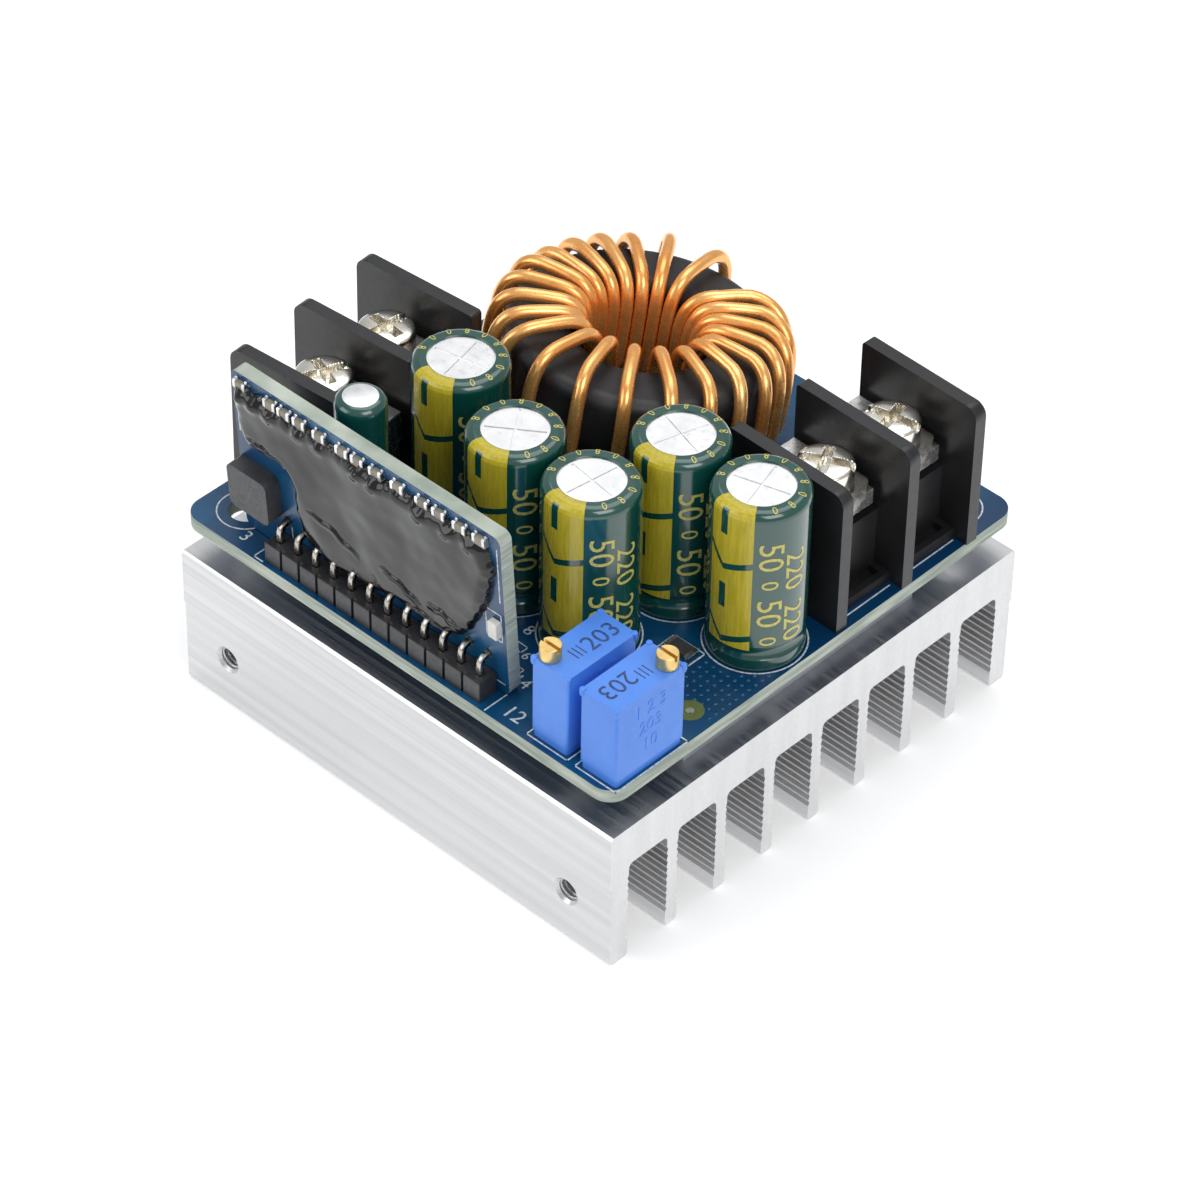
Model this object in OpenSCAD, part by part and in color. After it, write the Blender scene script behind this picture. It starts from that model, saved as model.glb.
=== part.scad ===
// Step-down converter module: a through-hole power board on a finned extrusion.
// X runs along the fins, Y across them, Z up from the fin tips; lengths in millimetres.

/* [Heat sink] */
// Length of the extrusion along its fins
sink_length = 60.4; // [50:0.1:80]
// Width of the extrusion across its fins
sink_width = 60; // [56:0.1:70]
// Height from the fin tips to the flat top
sink_height = 17.4; // [14:0.1:30]
// Thickness of the solid plate above the fins
sink_plate = 5; // [3:0.1:8]
// Thickness of the two outer walls
outer_wall = 2.6; // [2:0.1:4]
// Thickness of an inner fin
fin_thickness = 1.6; // [1:0.1:2.4]
// Number of gaps between the walls
gap_count = 8; // [5:1:10]
// Height of one tooth of the serrated fin sides
serration_pitch = 0.9; // [0.6:0.1:1.5]
// Depth of one tooth of the serrated fin sides
serration_depth = 0.16; // [0.05:0.01:0.2]
// Radius in the corners at the fin roots
root_fillet = 0.6; // [0.2:0.1:1]
// Relief of the lower part of the outer faces
face_relief = 0.2; // [0.05:0.05:0.4]
// Height where that relief starts
relief_height = 10.6; // [8:0.1:12]
// Core radius of the tapped side holes
tapped_radius = 1.25; // [1:0.05:1.7]
// Radius of the countersink at their mouths
tapped_mouth_radius = 1.6; // [1.75:0.05:2.2]
// Distance between the two tapped holes
tapped_spacing = 48.2; // [30:0.1:52]
// Height of the tapped holes above the fin tips
tapped_height = 6.15; // [4:0.05:9]

/* [Main board] */
// Size of the main board along X
board_length = 60; // [58:0.1:64]
// Size of the main board along Y
board_width = 60; // [58:0.1:64]
// Thickness of the main board
board_thickness = 1.6; // [1:0.1:2.4]
// Corner radius of the main board
board_corner = 2.3; // [0.5:0.1:3]
// Air gap between the heat sink and the board
board_gap = 4; // [3.2:0.1:6]
// Radius of the board's own mounting holes
mount_hole_radius = 1.8; // [1.5:0.1:2.2]
// Distance of a mounting hole from the board's edges
mount_hole_inset = 4.65; // [4:0.05:6]
// Play around a lead in its board hole
lead_play = 0.12; // [0.05:0.01:0.2]
// Height of the solder joints under the board
solder_height = 1.1; // [0.4:0.1:1.4]
// Width of the solder ring around a lead
solder_ring = 0.55; // [0.3:0.05:0.8]

/* [Power devices] */
// Body length of a flat power device under the board
device_length = 6.6; // [5:0.1:8]
// Body width of a flat power device
device_width = 6.2; // [5:0.1:8]
// Body height of a flat power device
device_height = 2.3; // [1.8:0.1:2.6]
// Length and thickness of a device's metal tab beside its body
device_tab = [1, 0.5]; // [0.3:0.1:1.4]
// Length and width of a device's outer legs
device_leg = [2.2, 0.8]; // [0.6:0.1:2.6]
// Spacing of a device's outer legs
device_leg_spacing = 4.6; // [4:0.1:5]
// Distance of the two device rows from the centre line
device_row_x = 22.5; // [21:0.5:24]
// Half the distance between the devices of a row
device_row_y = 12; // [10:0.5:13]
// Width of a heat conducting pad strip
pad_width = 10; // [7:0.5:12]
// Length of a heat conducting pad strip
pad_length = 34; // [32:0.5:40]

/* [Big capacitors] */
// Radius of a big capacitor's aluminium can
can_radius = 4.85; // [4:0.05:5]
// Height of a big capacitor
can_height = 20; // [14:0.5:25]
// Radius of a big capacitor's lead
can_lead_radius = 0.3; // [0.25:0.05:0.4]
// Lead spacing of a big capacitor
can_lead_spacing = 5; // [3.5:0.5:5]
// Wall of the shrunk plastic sleeves
sleeve_wall = 0.17; // [0.1:0.01:0.25]
// Play between a sleeve and its can
sleeve_play = 0.02; // [0.01:0.01:0.04]
// Width of the sleeve's rim on the can's lid
sleeve_rim = 1.4; // [0.8:0.05:1.6]
// Rounding of a can's upper edge
can_rounding = 0.8; // [0.4:0.1:1.2]

/* [Small capacitor] */
// Radius of the small capacitor's can
small_can_radius = 2.5; // [2:0.05:3]
// Height of the small capacitor's body
small_can_height = 11; // [7:0.5:11]
// Height of the small capacitor's top above the board
small_can_top = 21.3; // [19:0.1:21.5]
// Lead spacing of the small capacitor
small_lead_spacing = 2; // [1.5:0.1:2.5]

/* [Inductor] */
// Outer radius of the ring core
core_outer_radius = 14; // [12:0.1:14.3]
// Inner radius of the ring core
core_inner_radius = 7.2; // [6.8:0.1:8]
// Height of the ring core
core_height = 10.4; // [8:0.1:11]
// Rounding of the core's edges
core_rounding = 1.4; // [0.5:0.1:2]
// Radius of the enamelled wire
wire_radius = 0.72; // [0.5:0.01:0.74]
// Radius of the circle of wires inside the core
winding_inner_radius = 5.8; // [5.72:0.01:5.9]
// Radius of the circle of wires outside the core
winding_outer_radius = 15.4; // [15.2:0.05:16]
// Height of the core's underside above the board
core_clearance = 3.9; // [3:0.1:5]
// Tilt of the ring from the upright
core_tilt = 7; // [0:0.5:8]
// Direction that the ring's axis leans to
core_tilt_direction = 64; // [0:1:360]

/* [Terminal blocks] */
// Distance between the poles of a terminal block
pole_pitch = 9.6; // [9:0.1:11]
// Thickness of a divider wall
divider_thickness = 1.5; // [1:0.1:2]
// Length of a divider wall
divider_length = 15.4; // [14:0.1:16]
// Height of a divider wall
divider_height = 17.4; // [17:0.1:20]
// Radius of a divider's upper corners, at the board's edge and inside
divider_corners = [1.4, 0.4]; // [0.2:0.1:2]
// Distance of the clamp screws from the dividers' middle, towards the board's edge
screw_offset = 0.2; // [0:0.1:0.5]
// Height of the seat under the contact plates
seat_height = 10.4; // [9:0.1:11]
// Height of the wide lower part of the block
panel_height = 8.2; // [6:0.1:8.6]
// Height of the foot flange
flange_height = 1.3; // [0.8:0.1:2]
// Thickness of the contact plates
contact_thickness = 0.9; // [0.6:0.1:1]
// Width of the contact plates
contact_width = 6.8; // [6:0.1:7.2]
// Turn of the input block away from square
input_turn = 4.5; // [-5:0.5:5]
// Turn of the output block away from square
output_turn = -1.4; // [-5:0.1:5]

/* [Clamp screws] */
// Radius of a clamp screw's shank
screw_radius = 1.5; // [1.2:0.05:1.7]
// Running play of a clamp screw in its plates
screw_play = 0.05; // [0.02:0.01:0.08]
// Radius of a clamp screw's head
screw_head_radius = 3; // [2.6:0.05:3.2]
// Height of a clamp screw's head
screw_head_height = 2.7; // [2:0.1:2.8]
// Length of a clamp screw's shank below its head
screw_length = 8; // [6:0.5:9]
// Thickness of the captive square washer
washer_thickness = 0.8; // [0.5:0.1:0.9]
// Side of the captive square washer
washer_side = 6.6; // [6.4:0.1:7]

/* [Control board] */
// Length of the upright control board
control_length = 37; // [34:0.5:40]
// Height of the upright control board
control_height = 21.1; // [20.5:0.1:24]
// Thickness of the upright control board
control_thickness = 1.6; // [1:0.1:1.6]
// Forward lean of the control board
control_lean = 4.1; // [3:0.1:5]
// Height of the potting lump on the control board
potting_height = 1.1; // [0.6:0.1:2]
// Height of the small chips above the control board
chip_height = 0.6; // [0.3:0.1:0.8]
// Height of the flat choke on the control board
choke_height = 1.9; // [1:0.1:2.4]
// Number of header pins
pin_count = 12; // [8:1:12]
// Distance between header pins
pin_pitch = 2.54; // [2:0.01:2.54]
// Side of a square header pin
pin_side = 0.64; // [0.4:0.02:0.64]
// Depth and height of the header's plastic block
header_depth = 2.5; // [2:0.1:2.5]
// Gap between the header and the upright control board
header_gap = 0.2; // [0.1:0.05:0.5]

/* [Trimmers] */
// Width of a trimmer
trimmer_width = 4.83; // [4:0.01:5]
// Length of a trimmer
trimmer_length = 9.53; // [9:0.01:10]
// Height of a trimmer
trimmer_height = 10.03; // [8:0.01:12]
// Radius of a trimmer's screw head
trimmer_head_radius = 1.12; // [0.9:0.01:1.2]
// Height of a trimmer's screw above the body
trimmer_head_height = 1.6; // [1:0.1:2]
// Radius of a trimmer's screw shaft
trimmer_shaft_radius = 0.75; // [0.5:0.05:0.8]
// Running play of a trimmer's screw shaft
trimmer_play = 0.05; // [0.02:0.01:0.08]

/* [Hidden] */
$fn = 48;
cut = 0.01;

board_bottom = sink_height + board_gap;
board_top = board_bottom + board_thickness;
gap_width = (sink_width - 2 * outer_wall - (gap_count - 1) * fin_thickness) / gap_count;
gap_step = gap_width + fin_thickness;
gap_height = sink_height - sink_plate;

// Places on the main board
big_can_places = [[-9.8, -10.1], [1.7, -14.2], [12.3, -14.5], [13.7, -3.4], [24.4, -3.5]];
big_can_turns = [20, -6, 40, 48, 18];
vent_turns = [12, 35.5, -8, -17, 16];
input_place = [-22.7, -12];
output_place = [22.3, 13.1];
trimmer_places = [[20.75, -24.2], [27.2, -24.2]];
trimmer_turns = [0, 180];
core_place = [-5.6, 11];
shunt_place = [20.5, -10];
device_places = [[-device_row_x, -device_row_y], [-device_row_x, device_row_y],
                 [device_row_x, -device_row_y], [device_row_x, device_row_y]];
mount_hole_places = [for (side = [-1, 1])
    side * [board_length / 2 - mount_hole_inset, board_width / 2 - mount_hole_inset]];

// Board-mounted heights
header_inset = 1.8;
header_axis_y = -board_width / 2 + header_inset;
header_start_x = -17.25;
control_overhang = 6.45; // from the control board's end to the first pin
control_place = [header_start_x - control_overhang,
                 header_axis_y + header_depth / 2 + header_gap];
// Where the small capacitor stands from the control board's end and face
small_can_offset = [12.3, 4.32];
small_can_place = control_place + small_can_offset;
core_lift = core_height / 2 + core_clearance;
contact_top = seat_height + contact_thickness;
head_seat = contact_top + washer_thickness;

// ---------- Shared shapes ----------

module rounded_rectangle(length, width, radius) {
    square([length - 2 * radius, width], center = true);
    square([length, width - 2 * radius], center = true);
    for (x = [-1, 1], y = [-1, 1])
        translate([x * (length / 2 - radius), y * (width / 2 - radius)]) circle(r = radius);
}

module on_board(place, turn = 0) {
    translate([place[0], place[1], board_top]) rotate(turn) children();
}

// ---------- Heat sink ----------

tooth_count = floor((gap_height - root_fillet - 2) / serration_pitch);
function tooth_side(sign) = [for (i = [0 : 2 * tooth_count])
    [sign * (gap_width / 2 + (i % 2) * serration_depth), 2 + i * serration_pitch / 2]];
function root_corner(sign) = [for (angle = [0 : 22.5 : 90])
    [sign * (gap_width / 2 - root_fillet * (1 - cos(angle))),
     gap_height - root_fillet * (1 - sin(angle))]];
function reversed(list) = [for (i = [len(list) - 1 : -1 : 0]) list[i]];

module gap_section() {
    tip = 0.35;
    polygon(concat(
        [[-gap_width / 2 - tip, -cut], [-gap_width / 2, tip]],
        tooth_side(-1), root_corner(-1),
        reversed(root_corner(1)), reversed(tooth_side(1)),
        [[gap_width / 2, tip], [gap_width / 2 + tip, -cut]]));
}

module sink_outline() {
    half = sink_width / 2;
    edge = 0.3;
    polygon([
        [-half + face_relief + edge, 0], [-half + face_relief, edge],
        [-half + face_relief, relief_height - face_relief], [-half, relief_height],
        [-half, sink_height - edge], [-half + edge, sink_height],
        [half - edge, sink_height], [half, sink_height - edge],
        [half, relief_height], [half - face_relief, relief_height - face_relief],
        [half - face_relief, edge], [half - face_relief - edge, 0]]);
}

module heat_sink() {
    first_gap = -sink_width / 2 + outer_wall + gap_width / 2;
    mouth_depth = tapped_mouth_radius - tapped_radius;
    color("silver") difference() {
        rotate([90, 0, 90]) linear_extrude(height = sink_length, center = true)
            difference() {
                sink_outline();
                for (i = [0 : gap_count - 1])
                    translate([first_gap + i * gap_step, 0]) gap_section();
            }
        for (side = [-1, 1])
            translate([side * tapped_spacing / 2, -sink_width / 2 + face_relief, tapped_height])
                rotate([-90, 0, 0]) {
                    cylinder(r = tapped_radius, h = outer_wall + gap_width / 2);
                    translate([0, 0, -cut])
                        cylinder(r1 = tapped_mouth_radius, r2 = tapped_radius, h = mouth_depth);
                }
    }
}

// ---------- Main board ----------

function turned(point, angle) = [point[0] * cos(angle) - point[1] * sin(angle),
                                 point[0] * sin(angle) + point[1] * cos(angle)];

can_lead_points = [for (i = [0 : len(big_can_places) - 1]) for (side = [-1, 1])
    big_can_places[i] + turned([side * can_lead_spacing / 2, 0], big_can_turns[i])];
pin_xs = [for (i = [0 : pin_count - 1]) header_start_x + i * pin_pitch];
trimmer_pin_pitch = 2.54;
trimmer_pin_points = [for (i = [0, 1]) for (step = [-1 : 1])
    trimmer_places[i] + turned([0, step * trimmer_pin_pitch], trimmer_turns[i])];
contact_pin_x = -divider_length / 2 + 1;
contact_pin_points = concat(
    [for (side = [-1, 1])
        input_place + turned([contact_pin_x, side * pole_pitch / 2], 180 + input_turn)],
    [for (side = [-1, 1])
        output_place + turned([contact_pin_x, side * pole_pitch / 2], output_turn)]);
contact_pin_radius = 0.7;
trimmer_pin_radius = 0.25;
pin_corner_radius = pin_side * sqrt(2) / 2;

module main_board() {
    color("midnightblue") translate([0, 0, board_bottom])
        linear_extrude(height = board_thickness) difference() {
            rounded_rectangle(board_length, board_width, board_corner);
            for (place = mount_hole_places) translate(place) circle(r = mount_hole_radius);
            for (lead = lead_table) translate(lead[0]) circle(r = lead[1] + lead_play);
        }
}

module solder_joints() {
    tip = 0.8; // share of the lead's radius left at a joint's tip
    color("lightgrey") for (lead = lead_table)
        translate([lead[0][0], lead[0][1], board_bottom - solder_height])
            cylinder(r1 = lead[1] * tip, r2 = lead[1] + solder_ring, h = solder_height);
}

// ---------- Power devices ----------

module power_device(index) {
    place = device_places[index];
    tab_width = device_width - 0.8;
    translate([place[0], place[1], board_bottom]) rotate(place[1] < 0 ? -90 : 90) {
        translate([-device_length / 2, -device_width / 2, -device_height])
            cube([device_length, device_width, device_height]);
        translate([-device_length / 2 - device_tab[0], -tab_width / 2, -device_tab[1]])
            cube([device_tab[0] + cut, tab_width, device_tab[1]]);
        for (side = [-1, 1])
            translate([device_length / 2 - cut,
                       (side * device_leg_spacing - device_leg[1]) / 2, -device_tab[1]])
                cube([device_leg[0], device_leg[1], device_tab[1]]);
    }
}

module thermal_pad(side) {
    translate([side * device_row_x - pad_width / 2, -pad_length / 2, sink_height])
        cube([pad_width, pad_length, board_gap - device_height]);
}

module power_transistor_a() { color("dimgray") power_device(0); }
module power_transistor_b() { color("dimgray") power_device(1); }
module rectifier_a() { color("dimgray") power_device(2); }
module rectifier_b() { color("dimgray") power_device(3); }
module thermal_pad_left() { color("gainsboro") thermal_pad(-1); }
module thermal_pad_right() { color("gainsboro") thermal_pad(1); }

// ---------- Capacitors ----------

bead_height = 2.3;
bead_radius = 1.2;
bead_depth = 0.35;
bung_depth = 1.6;
bung_recess = 0.1;
bung_share = 0.84; // share of the can's radius

// Half section of a can, or of its sleeve's outside when grown by "grow"
module can_section(radius, height, grow = 0) {
    outer = radius + grow;
    rounding = can_rounding + grow;
    difference() {
        union() {
            square([outer, height + grow - rounding]);
            square([outer - rounding, height + grow]);
            translate([outer - rounding, height + grow - rounding]) circle(r = rounding);
        }
        translate([outer + bead_radius - bead_depth, bead_height]) circle(r = bead_radius);
        translate([-2 * radius, -height]) square([2 * radius, 3 * height]);
    }
}

module can_body(radius, height, score = 0, vent_turn = 0) {
    top = height - sleeve_wall - sleeve_play;
    score_depth = 0.12;
    score_width = 0.24;
    difference() {
        rotate_extrude() can_section(radius, top);
        translate([0, 0, -cut]) cylinder(r = radius * bung_share, h = bung_depth + cut);
        if (score > 0)
            for (turn = [0, 90]) rotate(turn + vent_turn)
                translate([-score / 2, -score_width / 2, top - score_depth])
                    cube([score, score_width, 1]);
    }
}

module can_sleeve(radius, height) {
    top = height - sleeve_wall - sleeve_play;
    rotate_extrude() difference() {
        can_section(radius, top, sleeve_play + sleeve_wall);
        can_section(radius, top, sleeve_play);
        translate([-cut, -cut]) square([radius - sleeve_rim, height + 1]);
        translate([-cut, -1]) square([radius * 2, 1.15]);
    }
}

module can_bung(radius, lead_radius, spacing) {
    difference() {
        translate([0, 0, bung_recess])
            cylinder(r = radius * bung_share - sleeve_play, h = bung_depth - bung_recess);
        for (side = [-1, 1]) translate([side * spacing / 2, 0, -1])
            cylinder(r = lead_radius + 0.03, h = bung_depth + 2);
    }
}

module at_big_can(i) { on_board(big_can_places[i], big_can_turns[i]) children(); }
module big_can(i) {
    color("whitesmoke") at_big_can(i)
        can_body(can_radius, can_height, 2 * (can_radius - sleeve_rim) - 0.7,
                 vent_turns[i] - big_can_turns[i]);
}
module big_sleeve(i) { color("darkgreen") at_big_can(i) can_sleeve(can_radius, can_height); }

module capacitor_a() { big_can(0); }
module capacitor_b() { big_can(1); }
module capacitor_c() { big_can(2); }
module capacitor_d() { big_can(3); }
module capacitor_e() { big_can(4); }
module sleeve_a() { big_sleeve(0); }
module sleeve_b() { big_sleeve(1); }
module sleeve_c() { big_sleeve(2); }
module sleeve_d() { big_sleeve(3); }
module sleeve_e() { big_sleeve(4); }

module capacitor_bungs() {
    color("black") for (i = [0 : len(big_can_places) - 1])
        at_big_can(i) can_bung(can_radius, can_lead_radius, can_lead_spacing);
}

module capacitor_leads() {
    color("lightgrey") for (point = can_lead_points)
        translate([point[0], point[1], board_bottom])
            cylinder(r = can_lead_radius, h = board_thickness + bung_depth - bung_recess);
}

small_can_base = small_can_top - small_can_height;
small_lead_radius = 0.25;
small_lead_drop = 1.3;

module at_small_can() { on_board(small_can_place) translate([0, 0, small_can_base]) children(); }

module small_capacitor() {
    color("whitesmoke") at_small_can() can_body(small_can_radius, small_can_height);
}

module small_sleeve() {
    color("darkgreen") at_small_can() can_sleeve(small_can_radius, small_can_height);
}

module small_bung() {
    color("black") at_small_can()
        can_bung(small_can_radius, small_lead_radius, small_lead_spacing);
}

// Two leads that drop out of the bung and turn back into the control board
module small_leads() {
    reach = small_can_place[1] - control_back_y(small_can_base - small_lead_drop)
        + control_thickness - 0.1;
    color("lightgrey") at_small_can() for (side = [-1, 1])
        translate([side * small_lead_spacing / 2, 0, -small_lead_drop]) {
            cylinder(r = small_lead_radius, h = small_lead_drop + bung_depth - bung_recess);
            sphere(r = small_lead_radius);
            rotate([90, 0, 0]) cylinder(r = small_lead_radius, h = reach);
        }
}

// ---------- Inductor ----------

wire_rise = 0.9;
core_half = core_height / 2;
winding_mid_radius = (winding_inner_radius + winding_outer_radius) / 2;
winding_half_width = (winding_outer_radius - winding_inner_radius) / 2;
winding_half_height = core_half + wire_rise;
turn_squareness = 3.6;
ring_count = 24;
wire_sides = 8;

// Groups of turns: first outer angle, step, first inner angle, step, number,
// extra rise at the inside, extra rise at the outside
turn_groups = [
    [54, -11.5, 88, -15.2, 5, 0.4, 0.3],
    [-6.5, -14, 7, -19.5, 2, 1.6, 0.4],
    [-36, -18, -35, -21.5, 3, 2.1, 0.4],
    [-93.5, -21.5, -96, -14.6, 2, 1.4, 0.6],
    [-126.5, -13.7, -125.2, -14.6, 4, 0.9, 0.8],
    [-180.9, -12.6, -183.6, -14.6, 4, 0.4, 0.3],
    [-236, -26, -242, -14.6, 2, 0.8, 1]];
turns = [for (group = turn_groups) for (k = [0 : group[4] - 1])
    [group[0] + k * group[1], group[2] + k * group[3], group[5], group[6]]];
turn_total = len(turns);
coil_start_angle = 88;

function power_sign(value, exponent) = sign(value) * pow(abs(value), exponent);

// Point of a turn; phase 180 is inside the core, 90 on top, 0 outside and -90 underneath
function turn_point(angle, phase, rises = [0, 0]) =
    let (radius = winding_mid_radius
             + winding_half_width * power_sign(cos(phase), 2 / turn_squareness),
         rise = phase > 0 ? blend(rises[1], rises[0], (1 - cos(phase)) / 2) : 0,
         height = (winding_half_height + rise) * power_sign(sin(phase), 2 / turn_squareness))
    [radius * cos(angle), radius * sin(angle), height];

function blend(low, high, share) = low + (high - low) * share;

function turn_points(k) =
    let (outer = turns[k][0], inner = turns[k][1], rises = [turns[k][2], turns[k][3]],
         next = k + 1 < turn_total ? turns[k + 1][1] : outer,
         last_phase = k + 1 < turn_total ? -180 + 360 / ring_count : 0)
    [for (phase = [180 : -360 / ring_count : last_phase])
        turn_point(phase >= 0 ? blend(outer, inner, (1 - cos(phase)) / 2)
                              : blend(outer, next, (1 - cos(phase)) / 2), phase, rises)];

// Wire ends: straight down beside the core, along its axis, into the board
function tail_height(angle) =
    (-core_lift - board_thickness
        + winding_outer_radius * sin(core_tilt) * cos(angle - core_tilt_direction))
    / cos(core_tilt);
function tail_point(angle, height) =
    [winding_outer_radius * cos(angle), winding_outer_radius * sin(angle), height];
coil_end_angle = turns[turn_total - 1][0];

coil_route = concat(
    [for (height = [tail_height(coil_start_angle) + 0.05, -core_half - wire_radius - 0.6])
        tail_point(coil_start_angle, height)],
    [for (phase = [-52, -70, -110, -140]) turn_point(coil_start_angle, phase)],
    [for (k = [0 : turn_total - 1]) each turn_points(k)],
    [for (height = [-core_half, tail_height(coil_end_angle) + 0.05])
        tail_point(coil_end_angle, height)]);

function unit(v) = v / norm(v);
function route_direction(path, i) =
    unit(path[min(i + 1, len(path) - 1)] - path[max(i - 1, 0)]);
// The sideways axis of each ring follows the direction round the core
function ring_around(path, i) =
    let (along = route_direction(path, i),
         angle = atan2(path[i][1], path[i][0]),
         out = unit(cross([-sin(angle), cos(angle), 0], along)),
         side = cross(along, out))
    [for (j = [0 : wire_sides - 1])
        path[i] + wire_radius * (cos(j * 360 / wire_sides) * out
                                 + sin(j * 360 / wire_sides) * side)];

module wire_sweep(path) {
    rings = len(path);
    points = [for (i = [0 : rings - 1]) each ring_around(path, i)];
    sides = [for (i = [0 : rings - 2]) for (j = [0 : wire_sides - 1])
        let (a = i * wire_sides + j, b = i * wire_sides + (j + 1) % wire_sides)
        [a, b, b + wire_sides, a + wire_sides]];
    ends = [[for (j = [wire_sides - 1 : -1 : 0]) j],
            [for (j = [0 : wire_sides - 1]) (rings - 1) * wire_sides + j]];
    polyhedron(points = points, faces = concat(sides, ends), convexity = 20);
}

module at_core() {
    translate([core_place[0], core_place[1], board_top + core_lift])
        rotate([0, 0, core_tilt_direction]) rotate([0, core_tilt, 0])
            rotate([0, 0, -core_tilt_direction]) children();
}

// Where a point fixed to the tilted core lies on the main board
function core_to_board(point) =
    let (p = turned([point[0], point[1]], -core_tilt_direction),
         x = p[0] * cos(core_tilt) + point[2] * sin(core_tilt))
    core_place + turned([x, p[1]], core_tilt_direction);
coil_end_points = [for (angle = [coil_start_angle, coil_end_angle])
    core_to_board(tail_point(angle, tail_height(angle) + board_thickness / 2))];

// Each entry: place and radius of a lead through the main board
lead_table = concat(
    [for (point = can_lead_points) [point, can_lead_radius]],
    [for (x = pin_xs) [[x, header_axis_y], pin_corner_radius]],
    [for (point = trimmer_pin_points) [point, trimmer_pin_radius]],
    [for (point = contact_pin_points) [point, contact_pin_radius]],
    [for (point = coil_end_points) [point, wire_radius + 0.15]]);

module inductor_core() {
    color("dimgray") at_core() rotate_extrude($fn = 96)
        translate([(core_outer_radius + core_inner_radius) / 2, 0])
            rounded_rectangle(core_outer_radius - core_inner_radius, core_height, core_rounding);
}

module inductor_winding() { color("peru") at_core() wire_sweep(coil_route); }

// ---------- Terminal blocks ----------

bay_width = pole_pitch - divider_thickness;
panel_x = 3.8;
step_x = 2.9;
back_x = contact_pin_x + contact_thickness / 2 + 0.02;
flange_x = 6;
lip = 0.8;

// One half of a divider's outline: side 1 at the board's edge, -1 inside
module divider_half(side) {
    corner = divider_corners[side > 0 ? 0 : 1];
    translate([-cut, -divider_height / 2]) {
        square([divider_length / 2 - corner + cut, divider_height]);
        square([divider_length / 2 + cut, divider_height - corner]);
    }
    translate([divider_length / 2 - corner, divider_height / 2 - corner]) circle(r = corner);
}

module divider() {
    translate([0, 0, divider_height / 2]) rotate([90, 0, 0])
        linear_extrude(height = divider_thickness, center = true) {
            for (side = [1, -1]) mirror([side < 0 ? 1 : 0, 0]) divider_half(side);
        }
}

module block_body() {
    width = 2 * pole_pitch;
    well = screw_radius + 0.15;
    difference() {
        union() {
            translate([back_x, -width / 2, 0]) cube([step_x - back_x, width, seat_height]);
            translate([back_x, -width / 2, 0]) cube([panel_x - back_x, width, panel_height]);
            translate([back_x, -width / 2, 0]) cube([flange_x - back_x, width, flange_height]);
            for (k = [-1 : 1]) translate([0, k * pole_pitch, 0]) divider();
        }
        for (side = [-1, 1]) translate([0, side * pole_pitch / 2, 0]) {
            translate([screw_offset, 0, contact_top - screw_length])
                cylinder(r = well, h = screw_length);
            translate([panel_x, -bay_width / 2 + lip, 0.4])
                cube([flange_x - panel_x - lip, bay_width - 2 * lip, flange_height]);
        }
    }
}

// Bent strip: seat under the screw, short apron outside, long leg with a pin inside
module contact() {
    apron = 1.9;
    leg_foot = 5;
    half = contact_width / 2;
    inside = contact_pin_x - contact_thickness / 2;
    outside = step_x + 0.02 + contact_thickness;
    tail = board_thickness;
    difference() {
        union() {
            translate([inside, -half, seat_height])
                cube([outside - inside, contact_width, contact_thickness]);
            translate([outside - contact_thickness, -half, contact_top - apron])
                cube([contact_thickness, contact_width, apron]);
            translate([inside, -half, leg_foot])
                cube([contact_thickness, contact_width, contact_top - leg_foot]);
            translate([inside, -0.5, -tail]) cube([contact_thickness, 1, tail + leg_foot + cut]);
        }
        translate([screw_offset, 0, seat_height - 1])
            cylinder(r = screw_radius + screw_play, h = contact_thickness + 2);
    }
}

module clamp_washer() {
    translate([screw_offset, 0, contact_top]) linear_extrude(height = washer_thickness)
        difference() {
            rounded_rectangle(washer_side, washer_side, 0.8);
            circle(r = screw_radius + screw_play);
        }
}

module clamp_screw() {
    crown = 0.4;
    slot_width = 0.9;
    recess_depth = 1.3;
    translate([0, 0, head_seat]) difference() {
        union() {
            translate([0, 0, -screw_length]) cylinder(r = screw_radius, h = screw_length + cut);
            rotate_extrude() {
                square([screw_head_radius, screw_head_height - crown]);
                square([screw_head_radius - crown, screw_head_height]);
                intersection() {
                    translate([screw_head_radius - crown, screw_head_height - crown])
                        circle(r = crown);
                    square([screw_head_radius, screw_head_height]);
                }
            }
        }
        translate([0, 0, screw_head_height - recess_depth]) {
            for (turn = [0, 90]) rotate(turn)
                translate([-2, -slot_width / 2, 0]) cube([4, slot_width, recess_depth + 1]);
            translate([-screw_head_radius - 1, -slot_width / 2, 0.5])
                cube([2 * screw_head_radius + 2, slot_width, recess_depth]);
        }
    }
}

module turned_screw(turn) { translate([screw_offset, 0, 0]) rotate(turn) clamp_screw(); }
module at_input(side = 0) {
    on_board(input_place, 180 + input_turn) translate([0, side * pole_pitch / 2, 0]) children();
}
module at_output(side = 0) {
    on_board(output_place, output_turn) translate([0, side * pole_pitch / 2, 0]) children();
}

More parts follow.
